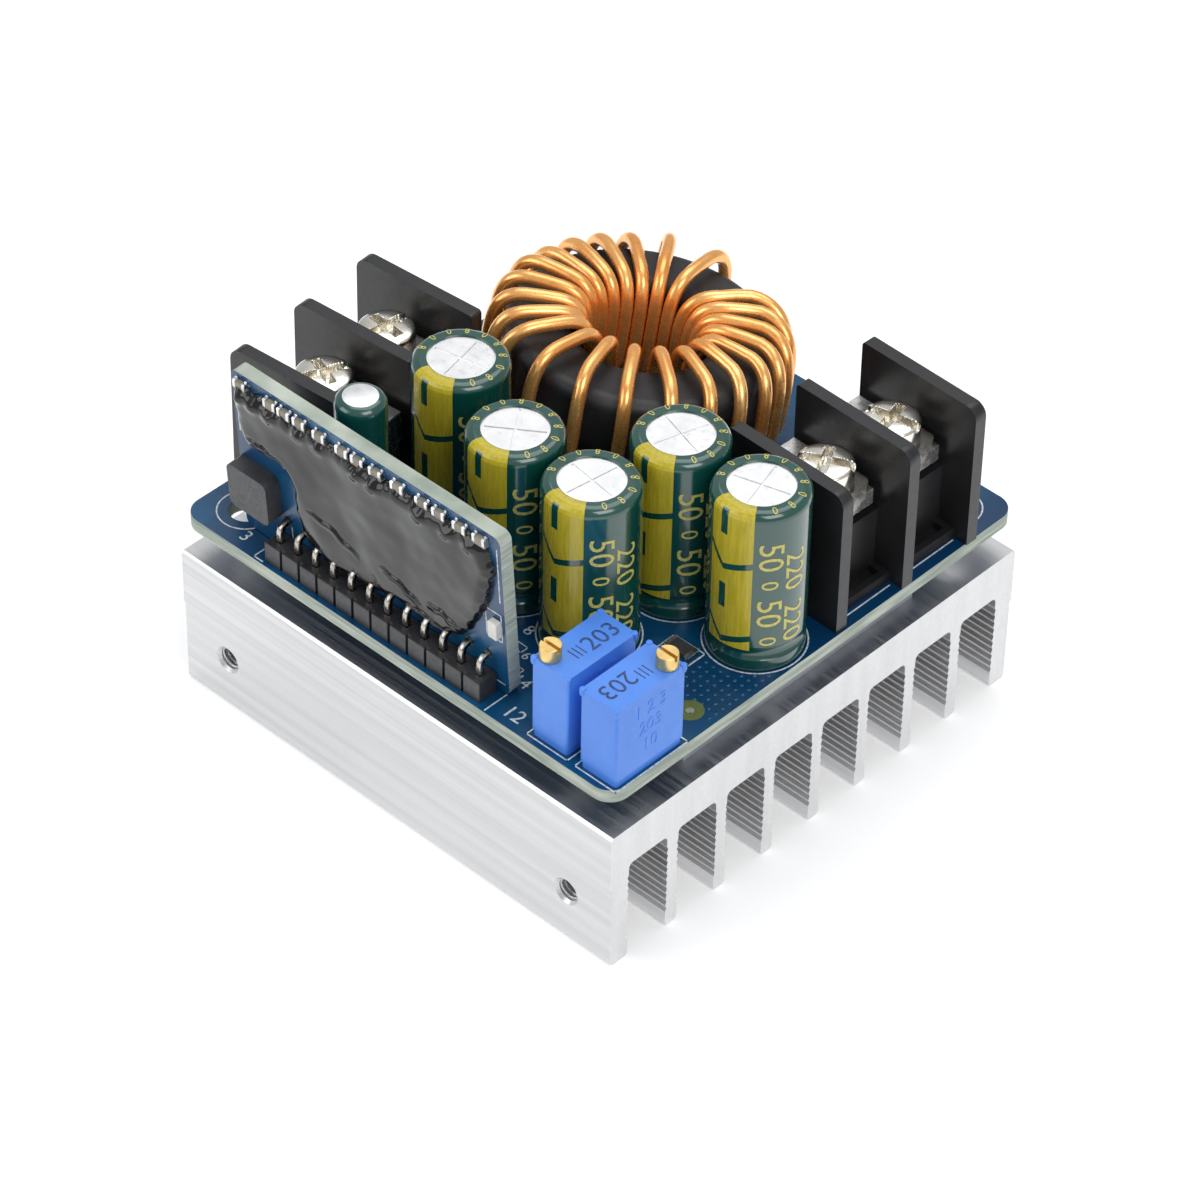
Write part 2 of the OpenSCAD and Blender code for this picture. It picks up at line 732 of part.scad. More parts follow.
module input_terminal() { color("black") at_input() block_body(); }
module output_terminal() { color("black") at_output() block_body(); }
module input_contact_a() { color("lightgrey") at_input(1) contact(); }
module input_contact_b() { color("lightgrey") at_input(-1) contact(); }
module output_contact_a() { color("lightgrey") at_output(-1) contact(); }
module output_contact_b() { color("lightgrey") at_output(1) contact(); }
module input_washer_a() { color("silver") at_input(1) clamp_washer(); }
module input_washer_b() { color("silver") at_input(-1) clamp_washer(); }
module output_washer_a() { color("silver") at_output(-1) clamp_washer(); }
module output_washer_b() { color("silver") at_output(1) clamp_washer(); }
module input_screw_a() { color("silver") at_input(1) turned_screw(65); }
module input_screw_b() { color("silver") at_input(-1) turned_screw(80); }
module output_screw_a() { color("silver") at_output(-1) turned_screw(30); }
module output_screw_b() { color("silver") at_output(1) turned_screw(15); }

// ---------- Control board ----------

pin_bend_radius = 1;
pin_reach_height = 4.5;
pin_channel_play = 0.04;
control_face_y = control_place[1];
// Heights are measured from the main board's top
function control_front_y(height) = control_face_y - height * tan(control_lean);
function control_back_y(height) = control_front_y(height) + control_thickness / cos(control_lean);

// Frame of the leaning board: X along it, Y up its face, Z out of its front
module on_control() {
    translate([control_place[0], control_place[1], board_top + 0.12])
        rotate([90 + control_lean, 0, 0]) children();
}

module control_board() {
    hole = pin_corner_radius + lead_play;
    corner = 0.9;
    color("steelblue") difference() {
        on_control() translate([control_length / 2, control_height / 2, -control_thickness])
            linear_extrude(height = control_thickness)
                rounded_rectangle(control_length, control_height, corner);
        for (x = pin_xs) translate([x, control_face_y - 3, board_top + pin_reach_height])
            rotate([-90, 0, 0]) cylinder(r = hole, h = 8);
        for (side = [-1, 1])
            translate([small_can_place[0] + side * small_lead_spacing / 2, control_face_y - 3,
                       board_top + small_can_base - small_lead_drop])
                rotate([-90, 0, 0]) cylinder(r = small_lead_radius + 0.2, h = 8);
    }
}

// Outline of the potting lump, as a smooth closed curve through these points
potting_outline = [
    [1.2, 19.1], [4.4, 19], [10, 18.9], [22, 19], [29, 19.1], [34.2, 18.9], [36, 17.4],
    [36, 15.2], [35, 11.4], [33, 7.4], [30.8, 4.6], [27.5, 3.6], [22.2, 4], [17.9, 2.9],
    [11.6, 3.2], [9.4, 4.8], [8.6, 8], [8.6, 11.2], [6.9, 12.6], [3.6, 12.3], [1.5, 12.9],
    [0.7, 15.6]];

function curve_point(a, b, c, d, t) =
    0.5 * (2 * b + (c - a) * t + (2 * a - 5 * b + 4 * c - d) * t * t
        + (3 * b - a - 3 * c + d) * t * t * t);
function closed_curve(points, steps) =
    let (n = len(points))
    [for (i = [0 : n - 1]) for (k = [0 : steps - 1])
        curve_point(points[(i + n - 1) % n], points[i], points[(i + 1) % n],
                    points[(i + 2) % n], k / steps)];

module control_potting() {
    crown_share = 0.955;
    crown_centre = [18, 12];
    channel = pin_side + 2 * pin_channel_play;
    color("black") difference() {
        on_control() {
            linear_extrude(height = potting_height * 0.6)
                polygon(closed_curve(potting_outline, 3));
            linear_extrude(height = potting_height) translate(crown_centre) scale(crown_share)
                translate(-crown_centre) polygon(closed_curve(potting_outline, 3));
        }
        for (x = pin_xs) translate([x - channel / 2, header_axis_y - channel / 2, board_top])
            cube([channel, control_front_y(0) - header_axis_y + channel / 2,
                pin_reach_height + channel / 2]);
    }
}

module chip_part(length, width, height) {
    translate([-length / 2, -width / 2, 0]) cube([length, width, height]);
}

module control_choke() {
    color("dimgray") on_control() translate([choke_side / 2, choke_place_y, 0])
        linear_extrude(height = choke_height)
            rounded_rectangle(choke_side, choke_side, choke_corner);
}

chip_xs = [1.6, 5.9, 7.9, 10, 12.8, 16, 18.1, 20.6, 23.6, 26.9, 29.2, 32, 34.6];
chip_row_inset = 1.25;
chip_length = 1.7;
chip_width = 0.9;
choke_place_y = 7;
choke_side = 5.6;
choke_corner = 0.8;
lamp_inset = 1.1;
lamp_place_y = 8.9;
lamp_size = [1.2, 2.2, 0.8];

module control_chips() {
    color("lightgrey") on_control() for (x = chip_xs)
        translate([x, control_height - chip_row_inset, 0])
            chip_part(chip_length, chip_width, chip_height);
}

module control_lamp() {
    color("white") on_control() translate([control_length - lamp_inset, lamp_place_y, 0])
        chip_part(lamp_size[0], lamp_size[1], lamp_size[2]);
}

// ---------- Header ----------

module header_block() {
    web = 0.35;
    fit = pin_side + 0.04;
    color("dimgray") translate([0, header_axis_y, board_top]) difference() {
        union() {
            for (x = pin_xs) translate([x - (pin_pitch - web) / 2, -header_depth / 2, 0])
                cube([pin_pitch - web, header_depth, header_depth]);
            translate([pin_xs[0] - pin_pitch / 2 + web, -header_depth / 2 + web, 0])
                cube([pin_count * pin_pitch - 2 * web, header_depth - 2 * web, header_depth]);
        }
        for (x = pin_xs) translate([x - fit / 2, -fit / 2, -1]) cube([fit, fit, header_depth + 2]);
    }
}

module header_pins() {
    half = pin_side / 2;
    reach = control_back_y(pin_reach_height) - header_axis_y - pin_bend_radius + 0.25;
    rise = pin_reach_height - pin_bend_radius;
    color("lightgrey") for (x = pin_xs) translate([x, header_axis_y, board_top]) {
        translate([-half, -half, -board_thickness])
            cube([pin_side, pin_side, board_thickness + rise]);
        translate([0, pin_bend_radius, rise]) rotate([90, 0, -90])
            rotate_extrude(angle = 90) translate([pin_bend_radius, 0])
                square(pin_side, center = true);
        translate([-half, pin_bend_radius, pin_reach_height - half])
            cube([pin_side, reach, pin_side]);
    }
}

// ---------- Trimmers ----------

trimmer_screw_inset = 1.27;
trimmer_bore_depth = 4;

module at_trimmer(i) { on_board(trimmer_places[i], trimmer_turns[i]) children(); }
module at_trimmer_screw() {
    translate([-trimmer_width / 2 + trimmer_screw_inset,
               -trimmer_length / 2 + trimmer_screw_inset, trimmer_height]) children();
}

module trimmer_body() {
    seal = 0.9;
    step = 0.12;
    difference() {
        union() {
            translate([0, 0, seal]) linear_extrude(height = trimmer_height - seal)
                rounded_rectangle(trimmer_width, trimmer_length, 0.3);
            linear_extrude(height = seal + cut)
                rounded_rectangle(trimmer_width - 2 * step, trimmer_length - 2 * step, 0.3);
        }
        at_trimmer_screw() translate([0, 0, -trimmer_bore_depth])
            cylinder(r = trimmer_shaft_radius + trimmer_play, h = trimmer_bore_depth + 1);
    }
}

module trimmer_screw() {
    slot_width = 0.4;
    slot_depth = 0.6;
    at_trimmer_screw() difference() {
        union() {
            translate([0, 0, 0.02]) cylinder(r = trimmer_head_radius, h = trimmer_head_height);
            translate([0, 0, -trimmer_bore_depth + 0.1])
                cylinder(r = trimmer_shaft_radius, h = trimmer_bore_depth);
        }
        translate([-2, -slot_width / 2, 0.02 + trimmer_head_height - slot_depth])
            cube([4, slot_width, 2]);
    }
}

module trimmer_a() { color("cornflowerblue") at_trimmer(0) trimmer_body(); }
module trimmer_b() { color("cornflowerblue") at_trimmer(1) trimmer_body(); }
module trimmer_screw_a() { color("gold") at_trimmer(0) trimmer_screw(); }
module trimmer_screw_b() { color("gold") at_trimmer(1) trimmer_screw(); }
module trimmer_pins() {
    color("lightgrey") for (point = trimmer_pin_points)
        translate([point[0], point[1], board_bottom])
            cylinder(r = trimmer_pin_radius, h = board_thickness);
}

// ---------- Small parts on the main board ----------

module current_shunt() {
    shunt_size = [3.2, 1.6, 0.6];
    color("dimgray") on_board(shunt_place)
        chip_part(shunt_size[0], shunt_size[1], shunt_size[2]);
}

// ---------- Nodes ----------

heat_sink();
main_board();
power_transistor_a();
power_transistor_b();
rectifier_a();
rectifier_b();
thermal_pad_left();
thermal_pad_right();
capacitor_a();
capacitor_b();
capacitor_c();
capacitor_d();
capacitor_e();
sleeve_a();
sleeve_b();
sleeve_c();
sleeve_d();
sleeve_e();
capacitor_bungs();
capacitor_leads();
small_capacitor();
small_sleeve();
small_bung();
small_leads();
inductor_core();
inductor_winding();
input_terminal();
output_terminal();
input_contact_a();
input_contact_b();
output_contact_a();
output_contact_b();
input_washer_a();
input_washer_b();
output_washer_a();
output_washer_b();
input_screw_a();
input_screw_b();
output_screw_a();
output_screw_b();
control_board();
control_potting();
control_choke();
control_chips();
control_lamp();
header_block();
header_pins();
trimmer_a();
trimmer_b();
trimmer_screw_a();
trimmer_screw_b();
trimmer_pins();
current_shunt();
solder_joints();
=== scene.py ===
"""Looks for a step-down converter module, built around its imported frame.

Each sub-assembly is a class that takes its places from the frame, gives the frame's own nodes
their finish and adds the fine pieces: the wound wire, the resin lump, screw heads, threads and
printed marks.
Lengths are in metres; sizes written with MM are millimetres of the real part.
"""

import functools
import logging
import math
from dataclasses import dataclass, field
from enum import Enum
from typing import Callable, Iterable, Sequence

import bmesh
import bpy
from mathutils import Matrix, Vector, noise
from mathutils.kdtree import KDTree


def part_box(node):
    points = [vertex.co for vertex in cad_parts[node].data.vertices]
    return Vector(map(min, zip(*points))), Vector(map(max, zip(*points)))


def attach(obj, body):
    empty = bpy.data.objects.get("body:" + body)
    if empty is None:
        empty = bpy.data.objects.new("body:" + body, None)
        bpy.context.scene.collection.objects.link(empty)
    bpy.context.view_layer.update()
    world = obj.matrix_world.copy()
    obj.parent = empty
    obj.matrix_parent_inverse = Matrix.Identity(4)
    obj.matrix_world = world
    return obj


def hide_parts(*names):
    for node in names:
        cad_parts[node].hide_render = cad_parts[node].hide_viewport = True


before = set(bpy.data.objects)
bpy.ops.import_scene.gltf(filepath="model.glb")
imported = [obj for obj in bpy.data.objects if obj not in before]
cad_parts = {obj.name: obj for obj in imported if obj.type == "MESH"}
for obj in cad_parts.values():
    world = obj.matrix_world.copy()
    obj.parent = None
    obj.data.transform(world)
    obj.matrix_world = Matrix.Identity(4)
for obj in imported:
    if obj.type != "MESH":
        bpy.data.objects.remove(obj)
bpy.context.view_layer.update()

MM = 0.001
ROOT_BODY = "module"
INK_THICKNESS = 0.02 * MM
BOX_FACES = ((0, 1, 3, 2), (4, 6, 7, 5), (0, 4, 5, 1), (2, 3, 7, 6), (0, 2, 6, 4), (1, 5, 7, 3))
LOG = logging.getLogger("converter_module")

FINE_LEVELS = (0.3, 0.7)
TONE_LEVELS = (0.35, 0.7)
FINE_RELIEF = 0.02 * MM
SHARP_ANGLE = 50.0
NUMERAL_SHARE = 0.69
ALMOST = 0.9999

Colour = tuple[float, float, float]
Point2 = tuple[float, float]
Placer = Callable[[float, float, float], Vector]


# ---------------------------------------------------------------- node helpers


class Shader:
    """One material's node tree, with short methods for the nodes that the finishes share."""

    def __init__(self, name: str, colour: Colour, roughness: float, metallic: float = 0.0) -> None:
        """Makes the material.

        Args:
            name: The material's name.
            colour: The base colour, as linear values.
            roughness: The roughness where nothing varies it.
            metallic: 1 for bare metal, 0 for everything else.
        """
        self.material = bpy.data.materials.new(name)
        self.material.use_nodes = True
        self.nodes = self.material.node_tree.nodes
        self.links = self.material.node_tree.links
        self.surface = self.nodes["Principled BSDF"]
        self.constant("Base Color", (*colour, 1.0))
        self.constant("Roughness", roughness)
        self.constant("Metallic", metallic)

    def constant(self, socket: str, value: object) -> None:
        """Sets a value that is the same all over the surface on the shader's own socket."""
        self.surface.inputs[socket].default_value = value

    def feed(self, socket: str, source: bpy.types.NodeSocket) -> None:
        """Links a varying value to one of the shader's sockets."""
        self.links.new(source, self.surface.inputs[socket])

    def place(self, stretch: Sequence[float] = (1, 1, 1)) -> bpy.types.NodeSocket:
        """Object coordinates; a small stretch factor draws the pattern out along its axis."""
        where = self.nodes.new("ShaderNodeTexCoord")
        mapping = self.nodes.new("ShaderNodeMapping")
        mapping.inputs["Scale"].default_value = stretch
        self.links.new(where.outputs["Object"], mapping.inputs["Vector"])
        return mapping.outputs["Vector"]

    def noise(self, scale: float, detail: float = 3.0, stretch: Sequence[float] = (1, 1, 1)
              ) -> bpy.types.NodeSocket:
        """Noise on object coordinates; returns its factor socket."""
        texture = self.nodes.new("ShaderNodeTexNoise")
        texture.inputs["Scale"].default_value = scale
        texture.inputs["Detail"].default_value = detail
        self.links.new(self.place(stretch), texture.inputs["Vector"])
        return texture.outputs["Fac"]

    def cells(self, scale: float, stretch: Sequence[float] = (1, 1, 1)) -> bpy.types.NodeSocket:
        """Distance to the nearest cell point; returns its socket."""
        texture = self.nodes.new("ShaderNodeTexVoronoi")
        texture.inputs["Scale"].default_value = scale
        self.links.new(self.place(stretch), texture.inputs["Vector"])
        return texture.outputs["Distance"]

    def range(self, source: bpy.types.NodeSocket, low: float, high: float, to_low: float,
              to_high: float) -> bpy.types.NodeSocket:
        """Maps a value from one range to another, clamped; returns the result socket."""
        node = self.nodes.new("ShaderNodeMapRange")
        for socket, value in zip(("From Min", "From Max", "To Min", "To Max"),
                                 (low, high, to_low, to_high)):
            node.inputs[socket].default_value = value
        self.links.new(source, node.inputs["Value"])
        return node.outputs["Result"]

    def blend(self, factor: bpy.types.NodeSocket, low: object, high: object
              ) -> bpy.types.NodeSocket:
        """Mixes two colours.

        Args:
            factor: The share of the second colour.
            low: The first colour, or a socket that gives it.
            high: The second colour, or a socket that gives it.

        Returns:
            The colour socket.
        """
        node = self.nodes.new("ShaderNodeMix")
        node.data_type = "RGBA"
        self.links.new(factor, node.inputs["Factor"])
        for index, value in ((6, low), (7, high)):
            if isinstance(value, bpy.types.NodeSocket):
                self.links.new(value, node.inputs[index])
            else:
                node.inputs[index].default_value = (*value, 1.0)
        return node.outputs[2]

    def tint(self, pattern: bpy.types.NodeSocket, levels: Point2, low: object, high: object
             ) -> bpy.types.NodeSocket:
        """Mixes two colours by a pattern that is spread between two of its levels."""
        return self.blend(self.range(pattern, *levels, 0, 1), low, high)

    def polish(self, pattern: bpy.types.NodeSocket, roughness: float, spread: float) -> None:
        """Varies the roughness to both sides of a value by a pattern."""
        self.feed("Roughness", self.range(pattern, *FINE_LEVELS, roughness - spread,
                                          roughness + spread))

    def calculate(self, operation: str, first: bpy.types.NodeSocket, second: object = 0.0
                  ) -> bpy.types.NodeSocket:
        """A Math node on a socket and a second socket or number; returns its output."""
        node = self.nodes.new("ShaderNodeMath")
        node.operation = operation
        self.links.new(first, node.inputs[0])
        if isinstance(second, bpy.types.NodeSocket):
            self.links.new(second, node.inputs[1])
        else:
            node.inputs[1].default_value = second
        return node.outputs[0]

    def facing(self, axis: int) -> bpy.types.NodeSocket:
        """How squarely the face looks along an axis, from 0 to 1; axis 0 is X and 2 is Z."""
        geometry = self.nodes.new("ShaderNodeNewGeometry")
        split = self.nodes.new("ShaderNodeSeparateXYZ")
        self.links.new(geometry.outputs["True Normal"], split.inputs[0])
        return self.calculate("ABSOLUTE", split.outputs[axis])

    def bump(self, height: bpy.types.NodeSocket, strength: float, distance: float) -> None:
        """Raises the surface by a height pattern; distance is in metres."""
        node = self.nodes.new("ShaderNodeBump")
        node.inputs["Strength"].default_value = strength
        node.inputs["Distance"].default_value = distance
        self.links.new(height, node.inputs["Height"])
        self.feed("Normal", node.outputs["Normal"])


# ---------------------------------------------------------------- finishes


@dataclass(frozen=True)
class Metal:
    """Plated, tinned or turned metal with a wandering tone and fine scratches."""

    name: str
    colour: Colour
    shade: Colour
    roughness: float
    spread: float
    grain: float
    tone_share: float = 0.35
    relief: float = 0.15

    def material(self) -> bpy.types.Material:
        """Builds the material."""
        shader = Shader(self.name, self.colour, self.roughness, metallic=1.0)
        tone = shader.noise(self.grain * self.tone_share, 4)
        fine = shader.noise(self.grain, 5)
        shader.feed("Base Color", shader.tint(tone, TONE_LEVELS, self.shade, self.colour))
        shader.polish(fine, self.roughness, self.spread)
        shader.bump(fine, self.relief, FINE_RELIEF)
        return shader.material


@dataclass(frozen=True)
class Moulded:
    """Moulded plastic, rubber or cast coating: an even colour with mottle and a fine skin."""

    name: str
    colour: Colour
    shade: Colour
    roughness: float
    spread: float = 0.1
    grain: float = 2500.0
    relief: float = 0.2
    coat: float = 0.0
    coat_roughness: float = 0.12
    mottle_grain: float = 260.0

    def material(self) -> bpy.types.Material:
        """Builds the material."""
        shader = Shader(self.name, self.colour, self.roughness)
        mottle = shader.noise(self.mottle_grain, 4)
        skin = shader.noise(self.grain, 3)
        shader.feed("Base Color", shader.tint(mottle, TONE_LEVELS, self.colour, self.shade))
        shader.polish(skin, self.roughness, self.spread)
        shader.bump(skin, self.relief, FINE_RELIEF)
        shader.constant("Coat Weight", self.coat)
        shader.constant("Coat Roughness", self.coat_roughness)
        return shader.material


@dataclass(frozen=True)
class Extrusion:
    """Satin aluminium with draw lines along its length and sawn ends."""

    name: str = "drawn_aluminium"
    colour: Colour = (0.61, 0.61, 0.615)
    shade: Colour = (0.50, 0.505, 0.515)
    end_colour: Colour = (0.66, 0.66, 0.665)
    roughness: float = 0.44
    spread: float = 0.1
    band_grain: float = 900.0
    line_grain: float = 2600.0
    cloud_grain: float = 60.0
    cloud_share: float = 0.35
    relief: float = 0.25
    relief_height: float = 0.03 * MM

    def material(self) -> bpy.types.Material:
        """Builds the material."""
        shader = Shader(self.name, self.colour, self.roughness, metallic=1.0)
        bands = shader.noise(self.band_grain, 5, (0.012, 1, 1))
        lines = shader.noise(self.line_grain, 4, (0.006, 1, 1))
        cloud = shader.noise(self.cloud_grain, 4, (0.6, 1, 1))
        scratch = shader.noise(self.band_grain, 6, (1, 0.7, 0.05))
        drawn = shader.tint(bands, (0.25, 0.6), self.shade, self.colour)
        drawn = shader.blend(shader.range(cloud, 0.4, 0.75, 0, self.cloud_share), drawn,
                             self.end_colour)
        sawn = shader.tint(scratch, FINE_LEVELS, self.colour, self.end_colour)
        shader.feed("Base Color", shader.tint(shader.facing(0), (0.8, 0.95), drawn, sawn))
        shader.polish(lines, self.roughness, self.spread)
        shader.bump(shader.calculate("ADD", lines, scratch), self.relief, self.relief_height)
        return shader.material


@dataclass(frozen=True)
class Board:
    """Glass-fibre board: blue mask over faint copper on its faces, pale fibres at its edges."""

    name: str
    face_axis: int
    mask: Colour = (0.004, 0.085, 0.20)
    mask_deep: Colour = (0.001, 0.030, 0.095)
    laminate: Colour = (0.50, 0.54, 0.47)
    laminate_dark: Colour = (0.27, 0.32, 0.27)
    mask_roughness: float = 0.24
    edge_roughness: float = 0.7
    copper_grain: float = 210.0
    copper_share: float = 0.35
    weave_grain: float = 1500.0
    weave_share: float = 0.2
    fibre_grain: float = 1900.0
    relief: float = 0.25
    relief_height: float = 0.03 * MM

    def material(self) -> bpy.types.Material:
        """Builds the material."""
        shader = Shader(self.name, self.mask, self.mask_roughness)
        copper = shader.range(shader.cells(self.copper_grain, (1, 0.8, 1)), 0.44, 0.5, 0, 1)
        weave = shader.noise(self.weave_grain)
        cloud = shader.noise(45)
        fibres = shader.noise(self.fibre_grain, 5, (0.08, 0.08, 1))
        mask = shader.blend(shader.range(cloud, 0.35, 0.65, 0.15, 1), self.mask_deep, self.mask)
        mask = shader.blend(shader.calculate("MULTIPLY", copper, self.copper_share), mask,
                            self.mask_deep)
        edge = shader.tint(fibres, (0.38, 0.66), self.laminate_dark, self.laminate)
        face = shader.range(shader.facing(self.face_axis), 0.5, 0.6, 0, 1)
        shader.feed("Base Color", shader.blend(face, edge, mask))
        shader.feed("Roughness", shader.range(face, 0, 1, self.edge_roughness,
                                              self.mask_roughness))
        weave = shader.calculate("MULTIPLY", weave, self.weave_share)
        shader.bump(shader.calculate("ADD", copper, weave), self.relief, self.relief_height)
        return shader.material


@dataclass(frozen=True)
class Enamel:
    """Enamelled copper wire: glossy golden orange, browner where the layers are thick."""

    name: str = "wire_enamel"
    colour: Colour = (1.0, 0.64, 0.28)
    shade: Colour = (0.90, 0.43, 0.12)
    coat_tint: Colour = (1.0, 0.78, 0.5)
    metallic: float = 0.72
    roughness: float = 0.28
    spread: float = 0.08
    relief: float = 0.12
    coat: float = 0.6
    coat_roughness: float = 0.1
    tone_grain: float = 170.0
    fine_grain: float = 1400.0

    def material(self) -> bpy.types.Material:
        """Builds the material."""
        shader = Shader(self.name, self.colour, self.roughness, metallic=self.metallic)
        tone = shader.noise(self.tone_grain, 4)
        fine = shader.noise(self.fine_grain, 4)
        shader.feed("Base Color", shader.tint(tone, (0.35, 0.65), self.shade, self.colour))
        shader.polish(fine, self.roughness, self.spread)
        shader.bump(fine, self.relief, FINE_RELIEF)
        shader.constant("Coat Weight", self.coat)
        shader.constant("Coat Roughness", self.coat_roughness)
        shader.constant("Coat Tint", (*self.coat_tint, 1.0))
        return shader.material


@dataclass(frozen=True)
class CoatedCore:
    """Pressed powder core: matt grey coating above, glossy black resin run down over it below."""

    name: str = "core_skin"
    coating: Colour = (0.010, 0.010, 0.012)
    coating_light: Colour = (0.028, 0.029, 0.032)
    resin: Colour = (0.004, 0.004, 0.005)
    coating_roughness: float = 0.48
    resin_roughness: float = 0.1
    resin_from: float = 28.5 * MM
    resin_to: float = 31.0 * MM
    run_reach: float = 3.0 * MM
    relief: float = 0.3
    relief_height: float = 0.15 * MM

    def material(self) -> bpy.types.Material:
        """Builds the material."""
        shader = Shader(self.name, self.coating, self.coating_roughness)
        grain = shader.noise(1300, 4)
        mottle = shader.noise(230, 4)
        runs = shader.noise(330, 2, (1, 1, 0.25))
        split = shader.nodes.new("ShaderNodeSeparateXYZ")
        shader.links.new(shader.place(), split.inputs[0])
        level = shader.calculate("ADD", split.outputs[2], shader.range(
            runs, *FINE_LEVELS, -self.run_reach, self.run_reach))
        covered = shader.range(level, self.resin_from, self.resin_to, 1, 0)
        dry = shader.tint(mottle, TONE_LEVELS, self.coating, self.coating_light)
        shader.feed("Base Color", shader.blend(covered, dry, self.resin))
        shader.feed("Roughness", shader.range(covered, 0, 1, self.coating_roughness,
                                              self.resin_roughness))
        grain = shader.calculate("MULTIPLY", grain, self.relief)
        shader.bump(shader.calculate("ADD", grain, runs), self.relief, self.relief_height)
        return shader.material


@dataclass(frozen=True)
class Ink:
    """Printed ink with worn, slightly broken cover, which may be drawn out upwards."""

    name: str
    colour: Colour
    shade: Colour
    roughness: float = 0.45
    draw: float = 1.0
    spread: float = 0.12
    grain: float = 3000.0

    def material(self) -> bpy.types.Material:
        """Builds the material."""
        shader = Shader(self.name, self.colour, self.roughness)
        cover = shader.noise(self.grain, 4, (1, 1, self.draw))
        shader.feed("Base Color", shader.tint(cover, (0.34, 0.62), self.shade, self.colour))
        shader.polish(cover, self.roughness, self.spread)
        return shader.material


@functools.lru_cache(maxsize=None)
def build_material(finish: object) -> bpy.types.Material:
    """Builds a finish's material once and keeps it."""
    return finish.material()


class Finish(Enum):
    """Every finish on the module."""

    SINK = Extrusion()
    MAIN_BOARD = Board("board_mask_flat", 2)
    CONTROL_BOARD = Board("board_mask_upright", 1)
    CAN = Metal("can_end", (0.90, 0.90, 0.91), (0.78, 0.78, 0.79), 0.34, 0.08, 1500)
    NICKEL = Metal("nickel_plate", (0.92, 0.89, 0.82), (0.74, 0.70, 0.62), 0.2, 0.02, 1200)
    TINNED = Metal("tin_plate", (0.82, 0.81, 0.79), (0.55, 0.54, 0.52), 0.28, 0.1, 1400)
    PIN = Metal("pin_plate", (0.58, 0.55, 0.50), (0.30, 0.28, 0.25), 0.25, 0.1, 1400)
    SOLDER = Metal("bright_solder", (0.80, 0.80, 0.81), (0.6, 0.6, 0.61), 0.22, 0.08, 700)
    BRASS = Metal("turned_brass", (0.86, 0.64, 0.27), (0.70, 0.48, 0.18), 0.42, 0.08, 1600)
    COPPER = Enamel()
    BLOCK = Moulded("block_black", (0.010, 0.010, 0.011), (0.016, 0.016, 0.018), 0.38, 0.05, 1600)
    DEVICE = Moulded("device_matt", (0.035, 0.035, 0.038), (0.06, 0.06, 0.064), 0.5)
    HEADER = Moulded("header_black", (0.018, 0.018, 0.02), (0.04, 0.04, 0.042), 0.4)
    CORE = CoatedCore()
    RESIN = Moulded("potting_resin", (0.003, 0.003, 0.004), (0.006, 0.006, 0.007), 0.13, 0.05, 420,
                    0.22)
    RUBBER = Moulded("rubber", (0.015, 0.015, 0.016), (0.03, 0.03, 0.03), 0.7)
    PAD = Moulded("heat_pad", (0.35, 0.37, 0.4), (0.28, 0.3, 0.33), 0.75)
    SLEEVE = Moulded("sleeve_gloss", (0.004, 0.066, 0.050), (0.003, 0.052, 0.042), 0.18, 0.05, 500,
                     0.12, coat=0.8)
    TRIMMER = Moulded("trimmer_body", (0.075, 0.25, 0.80), (0.062, 0.215, 0.73), 0.36, 0.08, 1500)
    CERAMIC = Moulded("chip_ceramic", (0.30, 0.27, 0.2), (0.2, 0.18, 0.14), 0.4)
    LAMP = Moulded("lamp_lens", (0.75, 0.75, 0.7), (0.6, 0.6, 0.55), 0.2)
    PRINT_WHITE = Ink("print_white", (0.78, 0.80, 0.80), (0.35, 0.42, 0.48))
    PRINT_GOLD = Ink("print_gold", (0.52, 0.42, 0.025), (0.43, 0.35, 0.02), 0.25, 0.12)
    PRINT_YELLOW = Ink("print_yellow", (0.62, 0.54, 0.14), (0.48, 0.44, 0.11), 0.3)
    OLIVE = Ink("bare_laminate", (0.12, 0.16, 0.04), (0.09, 0.12, 0.03))
    VIA = Ink("plated_hole", (0.03, 0.14, 0.27), (0.01, 0.06, 0.14), 0.3)
    PRINT_DARK = Ink("print_dark", (0.01, 0.03, 0.12), (0.03, 0.08, 0.3))

    def material(self) -> bpy.types.Material:
        """The finish's material, made once."""
        return build_material(self.value)


# ---------------------------------------------------------------- mesh helpers


def finish_node(node: str, finish: Finish) -> None:
    """Gives one of the frame's own nodes its finish."""
    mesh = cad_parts[node].data
    mesh.materials.clear()
    mesh.materials.append(finish.material())


@functools.lru_cache(maxsize=None)
def box_of(node: str) -> tuple[Vector, Vector]:
    """A node's lowest and highest corner, worked out once."""
    low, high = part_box(node)
    return low.freeze(), high.freeze()


def middle(node: str) -> Vector:
    """The middle of a node's box."""
    low, high = box_of(node)
    return (low + high) / 2


def top_middle(node: str, down: float = 0.0) -> Vector:
    """The middle of a node's top, or a point some way below it."""
    centre = middle(node)
    centre.z = box_of(node)[1].z - down
    return centre


def soften(node: str, width: float, segments: int = 2) -> None:
    """Rounds a node's edges a little with live modifiers.

    Args:
        node: The node's name.
        width: The rounding's width.
        segments: The rounding's steps.
    """
    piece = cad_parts[node]
    weld = piece.modifiers.new("join", "WELD")
    weld.merge_threshold = 1e-6
    bevel = piece.modifiers.new("round", "BEVEL")
    bevel.width = width
    bevel.segments = segments
    bevel.limit_method = "ANGLE"
    bevel.angle_limit = math.radians(SHARP_ANGLE)


